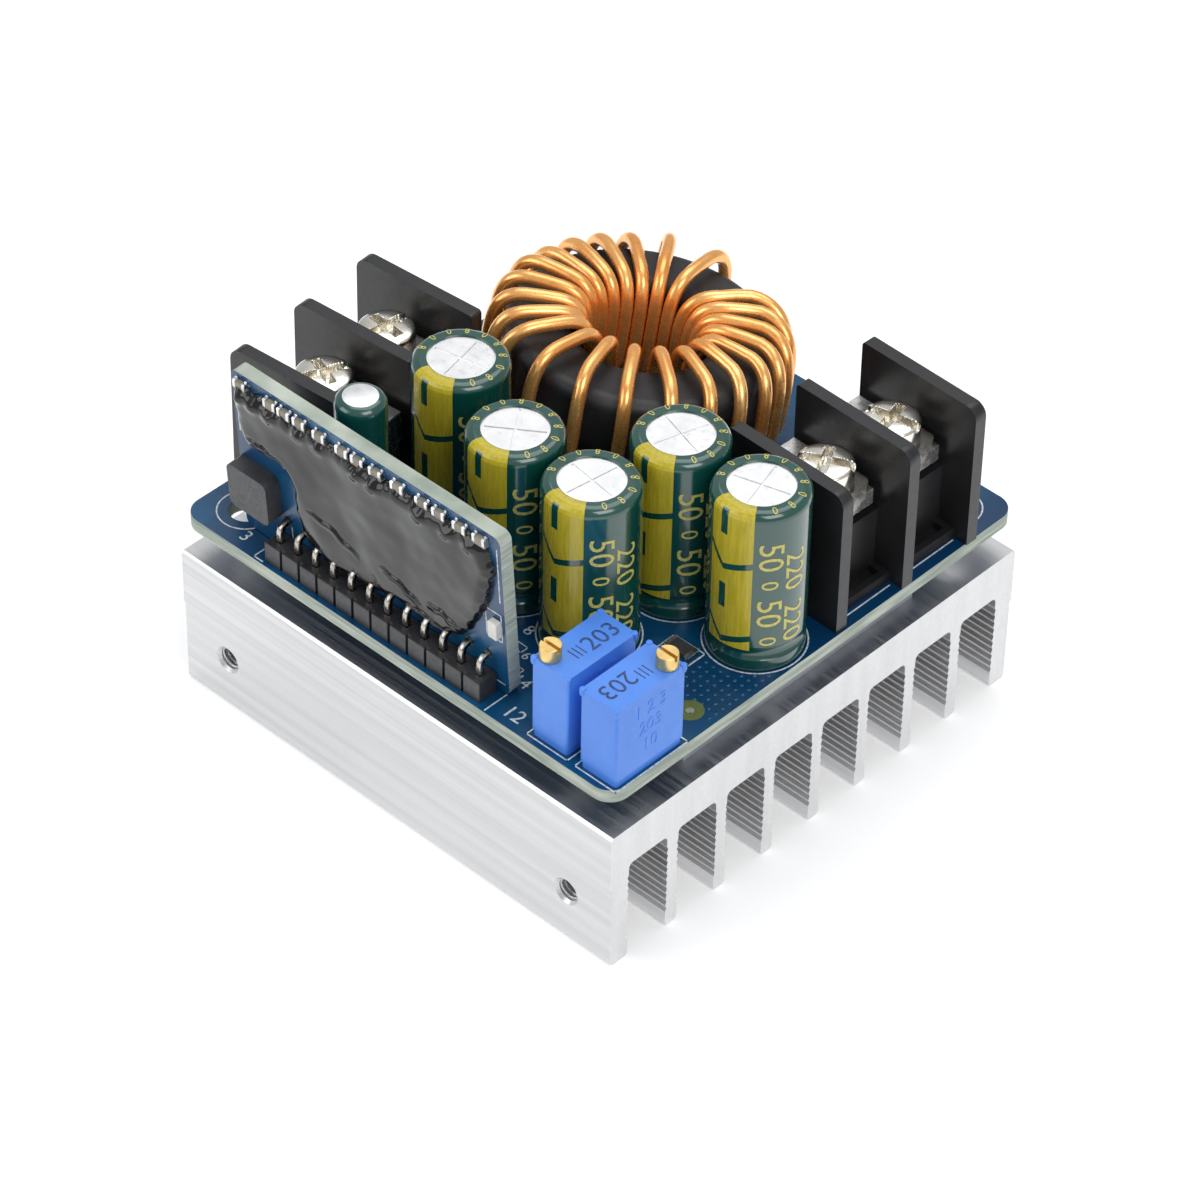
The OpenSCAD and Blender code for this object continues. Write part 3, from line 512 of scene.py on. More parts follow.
def add_piece(name: str, work: bmesh.types.BMesh, finish: Finish,
              body: str = ROOT_BODY, smooth_angle: float | None = 35.0) -> bpy.types.Object:
    """Makes an object from a finished bmesh and fixes it to a body.

    Args:
        name: The piece's name.
        work: The mesh, with its place in its points; it is freed.
        finish: The piece's finish.
        body: The body that carries it.
        smooth_angle: Edges flatter than this, in degrees, are shaded smooth; None keeps all flat.

    Returns:
        The new object.
    """
    bmesh.ops.remove_doubles(work, verts=work.verts, dist=1e-7)
    bmesh.ops.recalc_face_normals(work, faces=work.faces)
    mesh = bpy.data.meshes.new(name)
    work.to_mesh(mesh)
    work.free()
    mesh.materials.append(finish.material())
    piece = bpy.data.objects.new(name, mesh)
    bpy.context.scene.collection.objects.link(piece)
    if smooth_angle is not None:
        mesh.shade_smooth()
        mesh.set_sharp_from_angle(angle=math.radians(smooth_angle))
    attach(piece, body)
    LOG.info("%s: %d faces", name, len(mesh.polygons))
    return piece


def ring(work: bmesh.types.BMesh, centre: Vector, radius: float, sides: int,
         height: Callable[[float], float]) -> list[bmesh.types.BMVert]:
    """Adds a ring of points about an upright axis.

    Args:
        work: The mesh to add to.
        centre: The axis's zero.
        radius: The ring's radius.
        sides: Its number of points.
        height: Gives the height over the zero at an angle in radians.

    Returns:
        The points in order.
    """
    angles = [2 * math.pi * k / sides for k in range(sides)]
    return [work.verts.new(centre + Vector((radius * math.cos(a), radius * math.sin(a),
                                            height(a)))) for a in angles]


def skin(work: bmesh.types.BMesh, rings: Sequence[Sequence[bmesh.types.BMVert]]) -> None:
    """Joins each ring of points to the next by faces; a ring of one point closes an end."""
    for low, high in zip(rings, rings[1:]):
        for k in range(max(len(low), len(high))):
            corners = [low[k % len(low)], low[(k + 1) % len(low)],
                       high[(k + 1) % len(high)], high[k % len(high)]]
            face = list(dict.fromkeys(corners))
            if len(face) > 2:
                work.faces.new(face)


def line_mesh(points: Sequence[Sequence[float]]) -> bpy.types.Mesh:
    """A mesh of edges from point to point."""
    mesh = bpy.data.meshes.new("line")
    mesh.from_pydata(points, [(k, k + 1) for k in range(len(points) - 1)], [])
    return mesh


def turned_rings(work: bmesh.types.BMesh, profile: Sequence[Point2], centre: Vector, sides: int
                 ) -> list[list[bmesh.types.BMVert]]:
    """Adds a ring for each radius and height of a profile; radius 0 gives a single point."""
    return [ring(work, centre, radius, sides if radius else 1, lambda _, level=height: level)
            for radius, height in profile]


def box_mesh(work: bmesh.types.BMesh, low: Sequence[float], high: Sequence[float],
             place: Callable[[float, float, float], Sequence[float]]) -> None:
    """Adds a box between two corners, each point moved by a placing function."""
    corners = [work.verts.new(place(x, y, z)) for z in (low[2], high[2])
               for y in (low[1], high[1]) for x in (low[0], high[0])]
    for face in BOX_FACES:
        work.faces.new([corners[k] for k in face])


class GeometryTree:
    """A Geometry Nodes tree with named inputs, applied to a carrier mesh and baked to a mesh."""

    def __init__(self, name: str) -> None:
        """Makes an empty tree with a geometry input and output."""
        self.tree = bpy.data.node_groups.new(name, "GeometryNodeTree")
        for way in ("INPUT", "OUTPUT"):
            self.tree.interface.new_socket("Geometry", in_out=way,
                                           socket_type="NodeSocketGeometry")
        self.entry = self.tree.nodes.new("NodeGroupInput")
        self.exit = self.tree.nodes.new("NodeGroupOutput")
        self.values: dict[str, object] = {}

    def number(self, name: str, value: float) -> bpy.types.NodeSocket:
        """Adds a named size to the tree; returns the socket that gives it."""
        kind = "NodeSocketInt" if isinstance(value, int) else "NodeSocketFloat"
        self.tree.interface.new_socket(name, in_out="INPUT", socket_type=kind)
        self.values[name] = value
        return self.entry.outputs[name]

    def node(self, kind: str, **inputs: object) -> bpy.types.Node:
        """Adds a node; an input given as a socket is linked, any other value is set."""
        made = self.tree.nodes.new(kind)
        for label, value in inputs.items():
            socket = made.inputs[label.replace("_", " ")]
            if isinstance(value, bpy.types.NodeSocket):
                self.tree.links.new(value, socket)
            else:
                socket.default_value = value
        return made

    def tube(self, radius: bpy.types.NodeSocket, sides: object) -> bpy.types.NodeSocket:
        """Runs a round profile along the carrier's edges; returns the tube's socket."""
        line = self.node("GeometryNodeMeshToCurve", Mesh=self.entry.outputs["Geometry"])
        profile = self.node("GeometryNodeCurvePrimitiveCircle", Radius=radius, Resolution=sides)
        return self.node("GeometryNodeCurveToMesh", Curve=line.outputs[0],
                         Profile_Curve=profile.outputs[0], Fill_Caps=True).outputs[0]

    def bake(self, name: str, carrier: bpy.types.Mesh, result: bpy.types.NodeSocket,
             finish: Finish) -> bpy.types.Object:
        """Ends the tree, runs it on a carrier and keeps the result as a plain mesh.

        Args:
            name: The new object's name.
            carrier: The mesh that the tree starts from.
            result: The geometry to keep.
            finish: The finish of the result.

        Returns:
            The object, fixed to the module, with no modifier left.
        """
        real = self.node("GeometryNodeRealizeInstances", Geometry=result)
        smooth = self.node("GeometryNodeSetShadeSmooth", Geometry=real.outputs[0])
        dressed = self.node("GeometryNodeSetMaterial", Geometry=smooth.outputs[0],
                            Material=finish.material())
        self.tree.links.new(dressed.outputs[0], self.exit.inputs[0])
        piece = bpy.data.objects.new(name, carrier)
        bpy.context.scene.collection.objects.link(piece)
        modifier = piece.modifiers.new("shape", "NODES")
        modifier.node_group = self.tree
        for item in self.tree.interface.items_tree:
            if item.in_out == "INPUT" and item.name in self.values:
                modifier[item.identifier] = self.values[item.name]
        graph = bpy.context.evaluated_depsgraph_get()
        mesh = bpy.data.meshes.new_from_object(piece.evaluated_get(graph))
        piece.modifiers.clear()
        piece.data = mesh
        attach(piece, ROOT_BODY)
        LOG.info("%s: %d faces", name, len(mesh.polygons))
        return piece


class PrintSheet:
    """Flat printed marks that are laid on a surface as thin solids."""

    def __init__(self) -> None:
        """Starts an empty sheet."""
        self.work = bmesh.new()

    def polygon(self, points: Sequence[Point2]) -> None:
        """Adds a filled outline."""
        self.work.faces.new([self.work.verts.new((x, y, 0)) for x, y in points])

    def line(self, start: Point2, end: Point2, width: float) -> None:
        """Adds a straight stroke with square ends."""
        a, b = Vector(start), Vector(end)
        along = (b - a).normalized() * width / 2
        side = Vector((-along.y, along.x))
        a, b = a - along, b + along
        self.polygon([tuple(p) for p in (a - side, b - side, b + side, a + side)])

    def path(self, points: Sequence[Point2], width: float) -> None:
        """Adds strokes from point to point."""
        for start, end in zip(points, points[1:]):
            self.line(start, end, width)

    def frame(self, x0: float, y0: float, x1: float, y1: float, width: float) -> None:
        """Adds the outline of a rectangle."""
        self.path([(x0, y0), (x1, y0), (x1, y1), (x0, y1), (x0, y0)], width)

    def circle(self, centre: Point2, radius: float, width: float, steps: int = 48) -> None:
        """Adds a round band; the radius is that of its middle line."""
        angles = [2 * math.pi * k / steps for k in range(steps + 1)]
        for a, b in zip(angles, angles[1:]):
            inner, outer = radius - width / 2, radius + width / 2
            self.polygon([(centre[0] + r * math.cos(t), centre[1] + r * math.sin(t))
                          for r, t in ((inner, a), (outer, a), (outer, b), (inner, b))])

    def digits(self, text: str, centre: Point2, height: float, turn: float = 0.0) -> None:
        """Adds plain numerals.

        Args:
            text: The numerals.
            centre: The middle of the word.
            height: The height of a numeral.
            turn: The word's turn in degrees.
        """
        curve = bpy.data.curves.new("numerals", "FONT")
        curve.body = text
        curve.size = height / NUMERAL_SHARE
        curve.resolution_u = 3
        curve.align_x, curve.align_y = "CENTER", "CENTER"
        word = bpy.data.objects.new("numerals", curve)
        bpy.context.scene.collection.objects.link(word)
        graph = bpy.context.evaluated_depsgraph_get()
        mesh = bpy.data.meshes.new_from_object(word.evaluated_get(graph))
        mesh.transform(Matrix.Translation((*centre, 0))
                       @ Matrix.Rotation(math.radians(turn), 4, "Z"))
        self.work.from_mesh(mesh)
        bpy.data.objects.remove(word)
        bpy.data.meshes.remove(mesh)

    def cut(self, axis: int, step: float) -> None:
        """Divides the sheet by planes a step apart along an axis, so that it can bend."""
        values = [v.co[axis] for v in self.work.verts]
        normal = Vector((axis == 0, axis == 1, 0))
        count = int((max(values) - min(values)) / step)
        for k in range(1, count + 1):
            where = normal * (min(values) + k * step)
            bmesh.ops.bisect_plane(
                self.work, geom=[*self.work.verts, *self.work.edges, *self.work.faces],
                plane_co=where, plane_no=normal, dist=1e-8)

    def lay(self, name: str, placer: Placer, finish: Finish, slot: str, body: str = ROOT_BODY,
            thickness: float = INK_THICKNESS) -> bpy.types.Object:
        """Gives the marks a thickness and lays them on a surface.

        Args:
            name: The piece's name.
            placer: Turns sheet coordinates and a height over the surface into a place.
            finish: The ink.
            slot: The record's material slot; not used.
            body: The body that carries the marks.
            thickness: The ink's thickness.

        Returns:
            The new object.
        """
        work = self.work
        bmesh.ops.remove_doubles(work, verts=work.verts, dist=1e-8)
        top = bmesh.ops.extrude_face_region(work, geom=list(work.faces), use_keep_orig=True)
        for item in top["geom"]:
            if isinstance(item, bmesh.types.BMVert):
                item.co.z = thickness
        for vertex in work.verts:
            vertex.co = placer(*vertex.co)
        return add_piece(name, work, finish, body, smooth_angle=None)


# ---------------------------------------------------------------- heat sink


@dataclass
class HeatSink:
    """The finned extrusion, its tapped side holes and the pads and devices that it cools."""

    thread_radius: float = 1.25 * MM
    thread_depth: float = 0.2 * MM
    thread_pitch: float = 0.5 * MM
    thread_turns: int = 7
    thread_start: float = 0.8
    thread_steps: int = 16
    ridge_sides: int = 4
    hole_spacing: float = 48.2 * MM
    hole_height: float = 6.15 * MM
    face_relief: float = 0.2 * MM

    def threads(self) -> None:
        """Winds a thread ridge into each tapped hole."""
        face = box_of("heat_sink")[0].y + self.face_relief
        turns = [k / self.thread_steps for k in range(self.thread_turns * self.thread_steps + 1)]
        for label, side in (("left", -1), ("right", 1)):
            points = [(side * self.hole_spacing / 2
                       + self.thread_radius * math.cos(2 * math.pi * turn),
                       face + (self.thread_start + turn) * self.thread_pitch,
                       self.hole_height + self.thread_radius * math.sin(2 * math.pi * turn))
                      for turn in turns]
            tree = GeometryTree("thread_ridge")
            tube = tree.tube(tree.number("Ridge depth", self.thread_depth), self.ridge_sides)
            tree.bake(f"thread_{label}", line_mesh(points), tube, Finish.SINK)

    def build(self) -> None:
        """Dresses the heat sink and what lies on it, and cuts its threads."""
        finish_node("heat_sink", Finish.SINK)
        for pad in ("thermal_pad_left", "thermal_pad_right"):
            finish_node(pad, Finish.PAD)
        for device in ("power_transistor_a", "power_transistor_b", "rectifier_a", "rectifier_b"):
            finish_node(device, Finish.DEVICE)
        self.threads()


# ---------------------------------------------------------------- inductor


@dataclass(frozen=True)
class TurnGroup:
    """A run of evenly spaced turns round the ring, with angles in degrees."""

    outer: float
    outer_step: float
    inner: float
    inner_step: float
    count: int
    inner_rise: float
    outer_rise: float


@dataclass
class Inductor:
    """The ring core and the wire wound round it by hand."""

    tilt: float = 7.0
    tilt_direction: float = 64.0
    core_height: float = 10.4
    wire_radius: float = 0.72
    wire_rise: float = 0.9
    inner_radius: float = 5.8
    outer_radius: float = 15.4
    squareness: float = 3.6
    start_angle: float = 88.0
    start_phases: tuple[int, ...] = (-52, -61, -70, -90, -110, -125, -140, -160)
    tail_gap: float = 0.3
    tail_steps: int = 6
    board_reach: float = 0.1
    steps: int = 48
    sides: int = 16
    groups: tuple[TurnGroup, ...] = (
        TurnGroup(54, -11.5, 88, -15.2, 5, 0.4, 0.3),
        TurnGroup(-6.5, -14, 7, -19.5, 2, 1.6, 0.4),
        TurnGroup(-36, -18, -35, -21.5, 3, 2.1, 0.4),
        TurnGroup(-93.5, -21.5, -96, -14.6, 2, 1.4, 0.6),
        TurnGroup(-126.5, -13.7, -125.2, -14.6, 4, 0.9, 0.8),
        TurnGroup(-180.9, -12.6, -183.6, -14.6, 4, 0.4, 0.3),
        TurnGroup(-236, -26, -242, -14.6, 2, 0.8, 1.0),
    )

    def turn_point(self, angle: float, phase: float, rises: Point2 = (0, 0)) -> Vector:
        """A point of a turn, about the core's own middle, in millimetres.

        Args:
            angle: Direction round the ring, in degrees.
            phase: 180 inside the ring, 90 on top, 0 outside and -90 underneath.
            rises: Extra height over the core at the inside and at the outside.

        Returns:
            The point.
        """
        power = 2 / self.squareness
        across, up = math.cos(math.radians(phase)), math.sin(math.radians(phase))
        radius = ((self.inner_radius + self.outer_radius) / 2
                  + (self.outer_radius - self.inner_radius) / 2
                  * math.copysign(abs(across) ** power, across))
        share = (1 - across) / 2
        rise = rises[1] + (rises[0] - rises[1]) * share if phase > 0 else 0.0
        height = ((self.core_height / 2 + self.wire_rise + rise)
                  * math.copysign(abs(up) ** power, up))
        turn = math.radians(angle)
        return Vector((radius * math.cos(turn), radius * math.sin(turn), height))

    def tail(self, angle: float, lift: float) -> list[Vector]:
        """The wire's end, straight down beside the core and into the board."""
        tilt = math.radians(self.tilt)
        lean = math.cos(math.radians(angle - self.tilt_direction))
        foot = (-lift + self.outer_radius * math.sin(tilt) * lean) / math.cos(tilt)
        turn = math.radians(angle)
        top = -self.core_height / 2 - self.tail_gap
        return [Vector((self.outer_radius * math.cos(turn), self.outer_radius * math.sin(turn),
                        foot + (top - foot) * k / self.tail_steps))
                for k in range(self.tail_steps + 1)]

    def route(self, lift: float) -> list[Vector]:
        """The wire's whole middle line, from the start's foot to the end's."""
        turns = [(g.outer + k * g.outer_step, g.inner + k * g.inner_step,
                  (g.inner_rise, g.outer_rise)) for g in self.groups for k in range(g.count)]
        points = self.tail(self.start_angle, lift)
        points += [self.turn_point(self.start_angle, phase) for phase in self.start_phases]
        for k, (outer, inner, rises) in enumerate(turns):
            last = k + 1 == len(turns)
            following = outer if last else turns[k + 1][1]
            for j in range(self.steps // 2 + 1 if last else self.steps):
                phase = 180 - 360 * j / self.steps
                share = (1 - math.cos(math.radians(phase))) / 2
                inside = inner if phase >= 0 else following
                points.append(self.turn_point(outer + (inside - outer) * share, phase, rises))
        return points + list(reversed(self.tail(turns[-1][0], lift)))

    def to_board(self) -> Matrix:
        """Turns core coordinates in millimetres into places in the frame."""
        about = Matrix.Rotation(math.radians(self.tilt_direction), 4, "Z")
        lean = Matrix.Rotation(math.radians(self.tilt), 4, "Y")
        return (Matrix.Translation(middle("inductor_core")) @ about @ lean @ about.inverted()
                @ Matrix.Scale(MM, 4))

    def winding(self) -> None:
        """Makes the wire as a round tube along its route."""
        lift = (middle("inductor_core").z - box_of("main_board")[0].z) / MM - self.board_reach
        points = [self.to_board() @ p for p in self.route(lift)]
        tree = GeometryTree("wound_wire")
        tube = tree.tube(tree.number("Wire radius", self.wire_radius * MM),
                         tree.number("Sides", self.sides))
        wire = tree.bake("wound_wire", line_mesh(points), tube, Finish.COPPER)
        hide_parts("inductor_winding")

    def build(self) -> None:
        """Dresses the core and winds it."""
        finish_node("inductor_core", Finish.CORE)
        self.winding()


# ---------------------------------------------------------------- capacitors


@dataclass
class Capacitor:
    """A sleeved aluminium capacitor with printed marks wrapped round it."""

    label: str
    radius: float = 5.04 * MM
    rounding: float = 0.97 * MM
    print_lift: float = 0.012 * MM
    stripe_from: float = -112.0
    stripe_to: float = -55.0
    stripe_foot: float = 2.6 * MM
    stripe_pitch: float = 9.3 * MM
    stripe_start: float = 0.9 * MM
    over_rim: float = 0.55 * MM
    vertex_share: float = 0.36
    drop: float = 2.3 * MM
    right_share: float = 0.45
    band: float = 0.75 * MM
    slot_sides: Point2 = (-0.45 * MM, 0.4 * MM)
    slot_share: float = 0.4
    slot_length: float = 3.1 * MM
    slot_margin: float = 1.2 * MM
    bend_step: float = 0.45 * MM
    stripe_step: float = 0.4 * MM
    number_step: float = 0.5 * MM
    words: tuple[tuple[int, str, float, float], ...] = (
        (-36, "50", 14.6, 2.5), (-36, "0", 11.0, 1.7), (-36, "50", 7.4, 2.5), (-36, "0", 3.8, 1.7),
        (-5, "220", 12.2, 2.3), (-5, "220", 5.6, 2.3), (148, "50", 14.6, 2.5),
        (148, "50", 7.4, 2.5), (178, "220", 12.2, 2.3), (178, "220", 5.6, 2.3))
    rim_digits: str = "0808808008"
    rim_from: int = -30
    rim_step: int = 26
    rim_inset: float = 0.15 * MM
    rim_size: float = 0.9 * MM

    def placer(self) -> Placer:
        """Lays a sheet on the sleeve: x runs round it from its +X side, y up it and over its rim."""
        low, high = box_of(f"sleeve_{self.label}")
        centre = (low + high) / 2
        straight = (high.z - low.z) - self.rounding
        quarter = self.rounding * math.pi / 2

        def place(x: float, y: float, over: float) -> Vector:
            """A place on the sleeve."""
            angle = x / self.radius
            lift = over + self.print_lift
            if y <= straight:
                reach, height = self.radius + lift, low.z + y
            elif y <= straight + quarter:
                bend = (y - straight) / self.rounding
                reach = self.radius - self.rounding + (self.rounding + lift) * math.cos(bend)
                height = low.z + straight + (self.rounding + lift) * math.sin(bend)
            else:
                reach = self.radius - self.rounding - (y - straight - quarter)
                height = high.z + lift
            return Vector((centre.x + reach * math.cos(angle), centre.y + reach * math.sin(angle),
                           height))

        return place

    def rim_level(self) -> float:
        """How far up the sheet the sleeve's rounded shoulder ends."""
        low, high = box_of(f"sleeve_{self.label}")
        return high.z - low.z - self.rounding + self.rounding * math.pi / 2

    def stripe(self) -> PrintSheet:
        """Draws the gold stripe, whose slots and chevrons are left open."""
        left, right = (math.radians(a) * self.radius for a in (self.stripe_from, self.stripe_to))
        foot, top = self.stripe_foot, self.rim_level() + self.over_rim
        vertex = left + self.vertex_share * (right - left)
        west, east = (vertex + side for side in self.slot_sides)

        def chevron(level: float) -> Callable[[float], float]:
            """A bent line across the stripe, kept within its ends, as a height for each x."""
            a, b, c = (min(max(level + rise, foot), top)
                       for rise in (self.drop, 0.0, self.right_share * self.drop))
            return lambda x: (a + (b - a) * (x - left) / (vertex - left) if x <= vertex
                              else b + (c - b) * (x - vertex) / (right - vertex))

        def band(floor: Callable[[float], float], ceiling: Callable[[float], float],
                 *places: float) -> None:
            """Fills the stripe between two lines from the first place to the last."""
            sheet.polygon([(x, floor(x)) for x in places]
                          + [(x, ceiling(x)) for x in reversed(places)])

        sheet = PrintSheet()
        level = foot + self.stripe_start - self.stripe_pitch
        while level < top:
            floor = chevron(level)
            ceiling = chevron(min(level + self.stripe_pitch - self.band, top))
            south = level + self.slot_share * self.stripe_pitch
            north = south + self.slot_length
            if foot < south and north < top - self.slot_margin:
                band(floor, ceiling, left, west)
                band(floor, ceiling, east, right)
                sheet.polygon([(west, floor(west)), (vertex, floor(vertex)), (east, floor(east)),
                               (east, south), (west, south)])
                sheet.polygon([(west, north), (east, north), (east, ceiling(east)),
                               (vertex, ceiling(vertex)), (west, ceiling(west))])
            else:
                band(floor, ceiling, left, vertex)
                band(floor, ceiling, vertex, right)
            level += self.stripe_pitch
        return sheet

    def marks(self) -> None:
        """Prints the gold stripe and the plain yellow numbers."""
        stripe = self.stripe()
        numbers = PrintSheet()
        for angle, word, level, size in self.words:
            numbers.digits(word, (math.radians(angle) * self.radius, level * MM), size * MM, -90)
        for k, digit in enumerate(self.rim_digits):
            angle = math.radians(self.rim_from + k * self.rim_step)
            numbers.digits(digit, (angle * self.radius, self.rim_level() - self.rim_inset),
                           self.rim_size)
        for name, sheet, step, finish in (
                ("stripe", stripe, self.stripe_step, Finish.PRINT_GOLD),
                ("numbers", numbers, self.number_step, Finish.PRINT_YELLOW)):
            sheet.cut(0, self.bend_step)
            sheet.cut(1, step)
            sheet.lay(f"{name}_{self.label}", self.placer(), finish, "sleeve_green")

    def build(self) -> None:
        """Dresses the can and its sleeve and prints the marks."""
        finish_node(f"capacitor_{self.label}", Finish.CAN)
        finish_node(f"sleeve_{self.label}", Finish.SLEEVE)
        self.marks()


@dataclass
class CapacitorBank:
    """The five big capacitors and the small one behind the control board."""

    labels: str = "abcde"
    end_share: float = 0.68
    end_sink: float = 0.1 * MM
    end_wall: float = 0.015 * MM
    end_rise: float = 0.03 * MM
    end_chamfer: float = 0.08 * MM

    def small_top(self) -> None:
        """Sets the small can's bright end into its sleeve's rim."""
        low, high = box_of("small_sleeve")
        radius = self.end_share * (high.x - low.x) / 2
        work = bmesh.new()
        skin(work, turned_rings(work, [
            (0, -self.end_sink), (radius, -self.end_sink), (radius, self.end_wall),
            (radius - self.end_chamfer, self.end_rise), (0, self.end_rise)],
            top_middle("small_sleeve"), 48))
        add_piece("small_can_top", work, Finish.CAN)

    def build(self) -> None:
        """Builds the capacitors and dresses the small one."""
        self.small_top()
        for label in self.labels:
            Capacitor(label).build()
        for node, finish in (("capacitor_bungs", Finish.RUBBER), ("small_bung", Finish.RUBBER),
                             ("capacitor_leads", Finish.TINNED), ("small_leads", Finish.TINNED),
                             ("small_capacitor", Finish.CAN), ("small_sleeve", Finish.SLEEVE)):
            finish_node(node, finish)


# ---------------------------------------------------------------- terminals


@dataclass
class ClampScrew:
    """A pan-head screw with a slot, a cross recess and a threaded shank."""

    side: str
    pole: str
    turn: float
    head_radius: float = 3.0 * MM
    head_height: float = 2.7 * MM
    wall_height: float = 2.2 * MM
    shank_radius: float = 1.5 * MM
    slot_width: float = 0.9 * MM
    slot_depth: float = 0.8 * MM
    recess_reach: float = 2.0 * MM
    recess_depth: float = 1.3 * MM
    edge: float = 0.14 * MM
    chamfer: float = 0.12 * MM
    thread_start: float = 0.3 * MM
    thread_pitch: float = 0.5 * MM
    thread_depth: float = 0.26 * MM
    tip_chamfer: float = 0.3 * MM
    rings: int = 60
    ring_spread: float = 0.8
    sides: int = 128

    def inside(self, distance: float, limit: float) -> float:
        """How far a place is inside a limit: 1 inside, 0 outside, soft over the edge."""
        share = max(0.0, min(1.0, (limit - distance) / self.edge + 0.5))
        return share * share * (3 - 2 * share)

    def crown(self, radius: float, angle: float) -> float:
        """The head's height over its seat at a place on its top, in metres."""
        share = radius / self.head_radius
        rise = self.head_height - self.wall_height
        height = self.wall_height + rise * (1 - share ** 4) ** 0.5
        turned = angle - math.radians(self.turn)
        along, across = abs(radius * math.cos(turned)), abs(radius * math.sin(turned))
        half = self.slot_width / 2
        slot = self.inside(across, half)
        cross = max(min(slot, self.inside(along, self.recess_reach)),
                    min(self.inside(along, half), self.inside(across, self.recess_reach)))
        height += (self.head_height - self.slot_depth - height) * slot
        return height + (self.head_height - self.recess_depth - height) * cross

    def build(self) -> None:
        """Makes the screw and fixes it to its own body."""
        node = f"{self.side}_screw_{self.pole}"
        seat = top_middle(node, self.head_height)
        work = bmesh.new()
        rings = [ring(work, seat, 0, 1, lambda angle: self.crown(0, angle))]
        for k in range(1, self.rings + 1):
            radius = self.head_radius * (k / self.rings) ** self.ring_spread * ALMOST
            rings.append(ring(work, seat, radius, self.sides,
                              lambda angle, reach=radius: self.crown(reach, angle)))
        low, high = box_of(node)
        depth = high.z - self.head_height - low.z
        profile = [(self.head_radius, self.chamfer), (self.head_radius - self.chamfer, 0.0),
                   (self.shank_radius, 0.0)]
        for turn in range(int((depth - self.thread_pitch) / self.thread_pitch)):
            level = -self.thread_start - turn * self.thread_pitch
            profile += [(self.shank_radius, level),
                        (self.shank_radius - self.thread_depth, level - self.thread_pitch / 2)]
        profile += [(self.shank_radius - self.tip_chamfer, -depth), (0, -depth)]
        rings += turned_rings(work, profile, seat, self.sides)
        skin(work, rings)
        screw = add_piece(f"clamp_{node}", work, Finish.NICKEL, node, 55)
        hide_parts(node)


@dataclass
class TerminalBlocks:
    """Both screw terminal blocks with their contacts, washers and screws."""

    input_turns: tuple[float, float] = (69.5, 84.5)
    output_turns: tuple[float, float] = (28.6, 13.6)

    def build(self) -> None:
        """Dresses every piece of both blocks."""
        for side, turns in (("input", self.input_turns), ("output", self.output_turns)):
            finish_node(f"{side}_terminal", Finish.BLOCK)
            soften(f"{side}_terminal", 0.22 * MM, 3)
            for pole, turn in zip("ab", turns):
                finish_node(f"{side}_contact_{pole}", Finish.TINNED)
                finish_node(f"{side}_washer_{pole}", Finish.NICKEL)
                soften(f"{side}_washer_{pole}", 0.06 * MM)
                soften(f"{side}_contact_{pole}", 0.12 * MM)
                ClampScrew(side, pole, turn).build()


# ---------------------------------------------------------------- boards


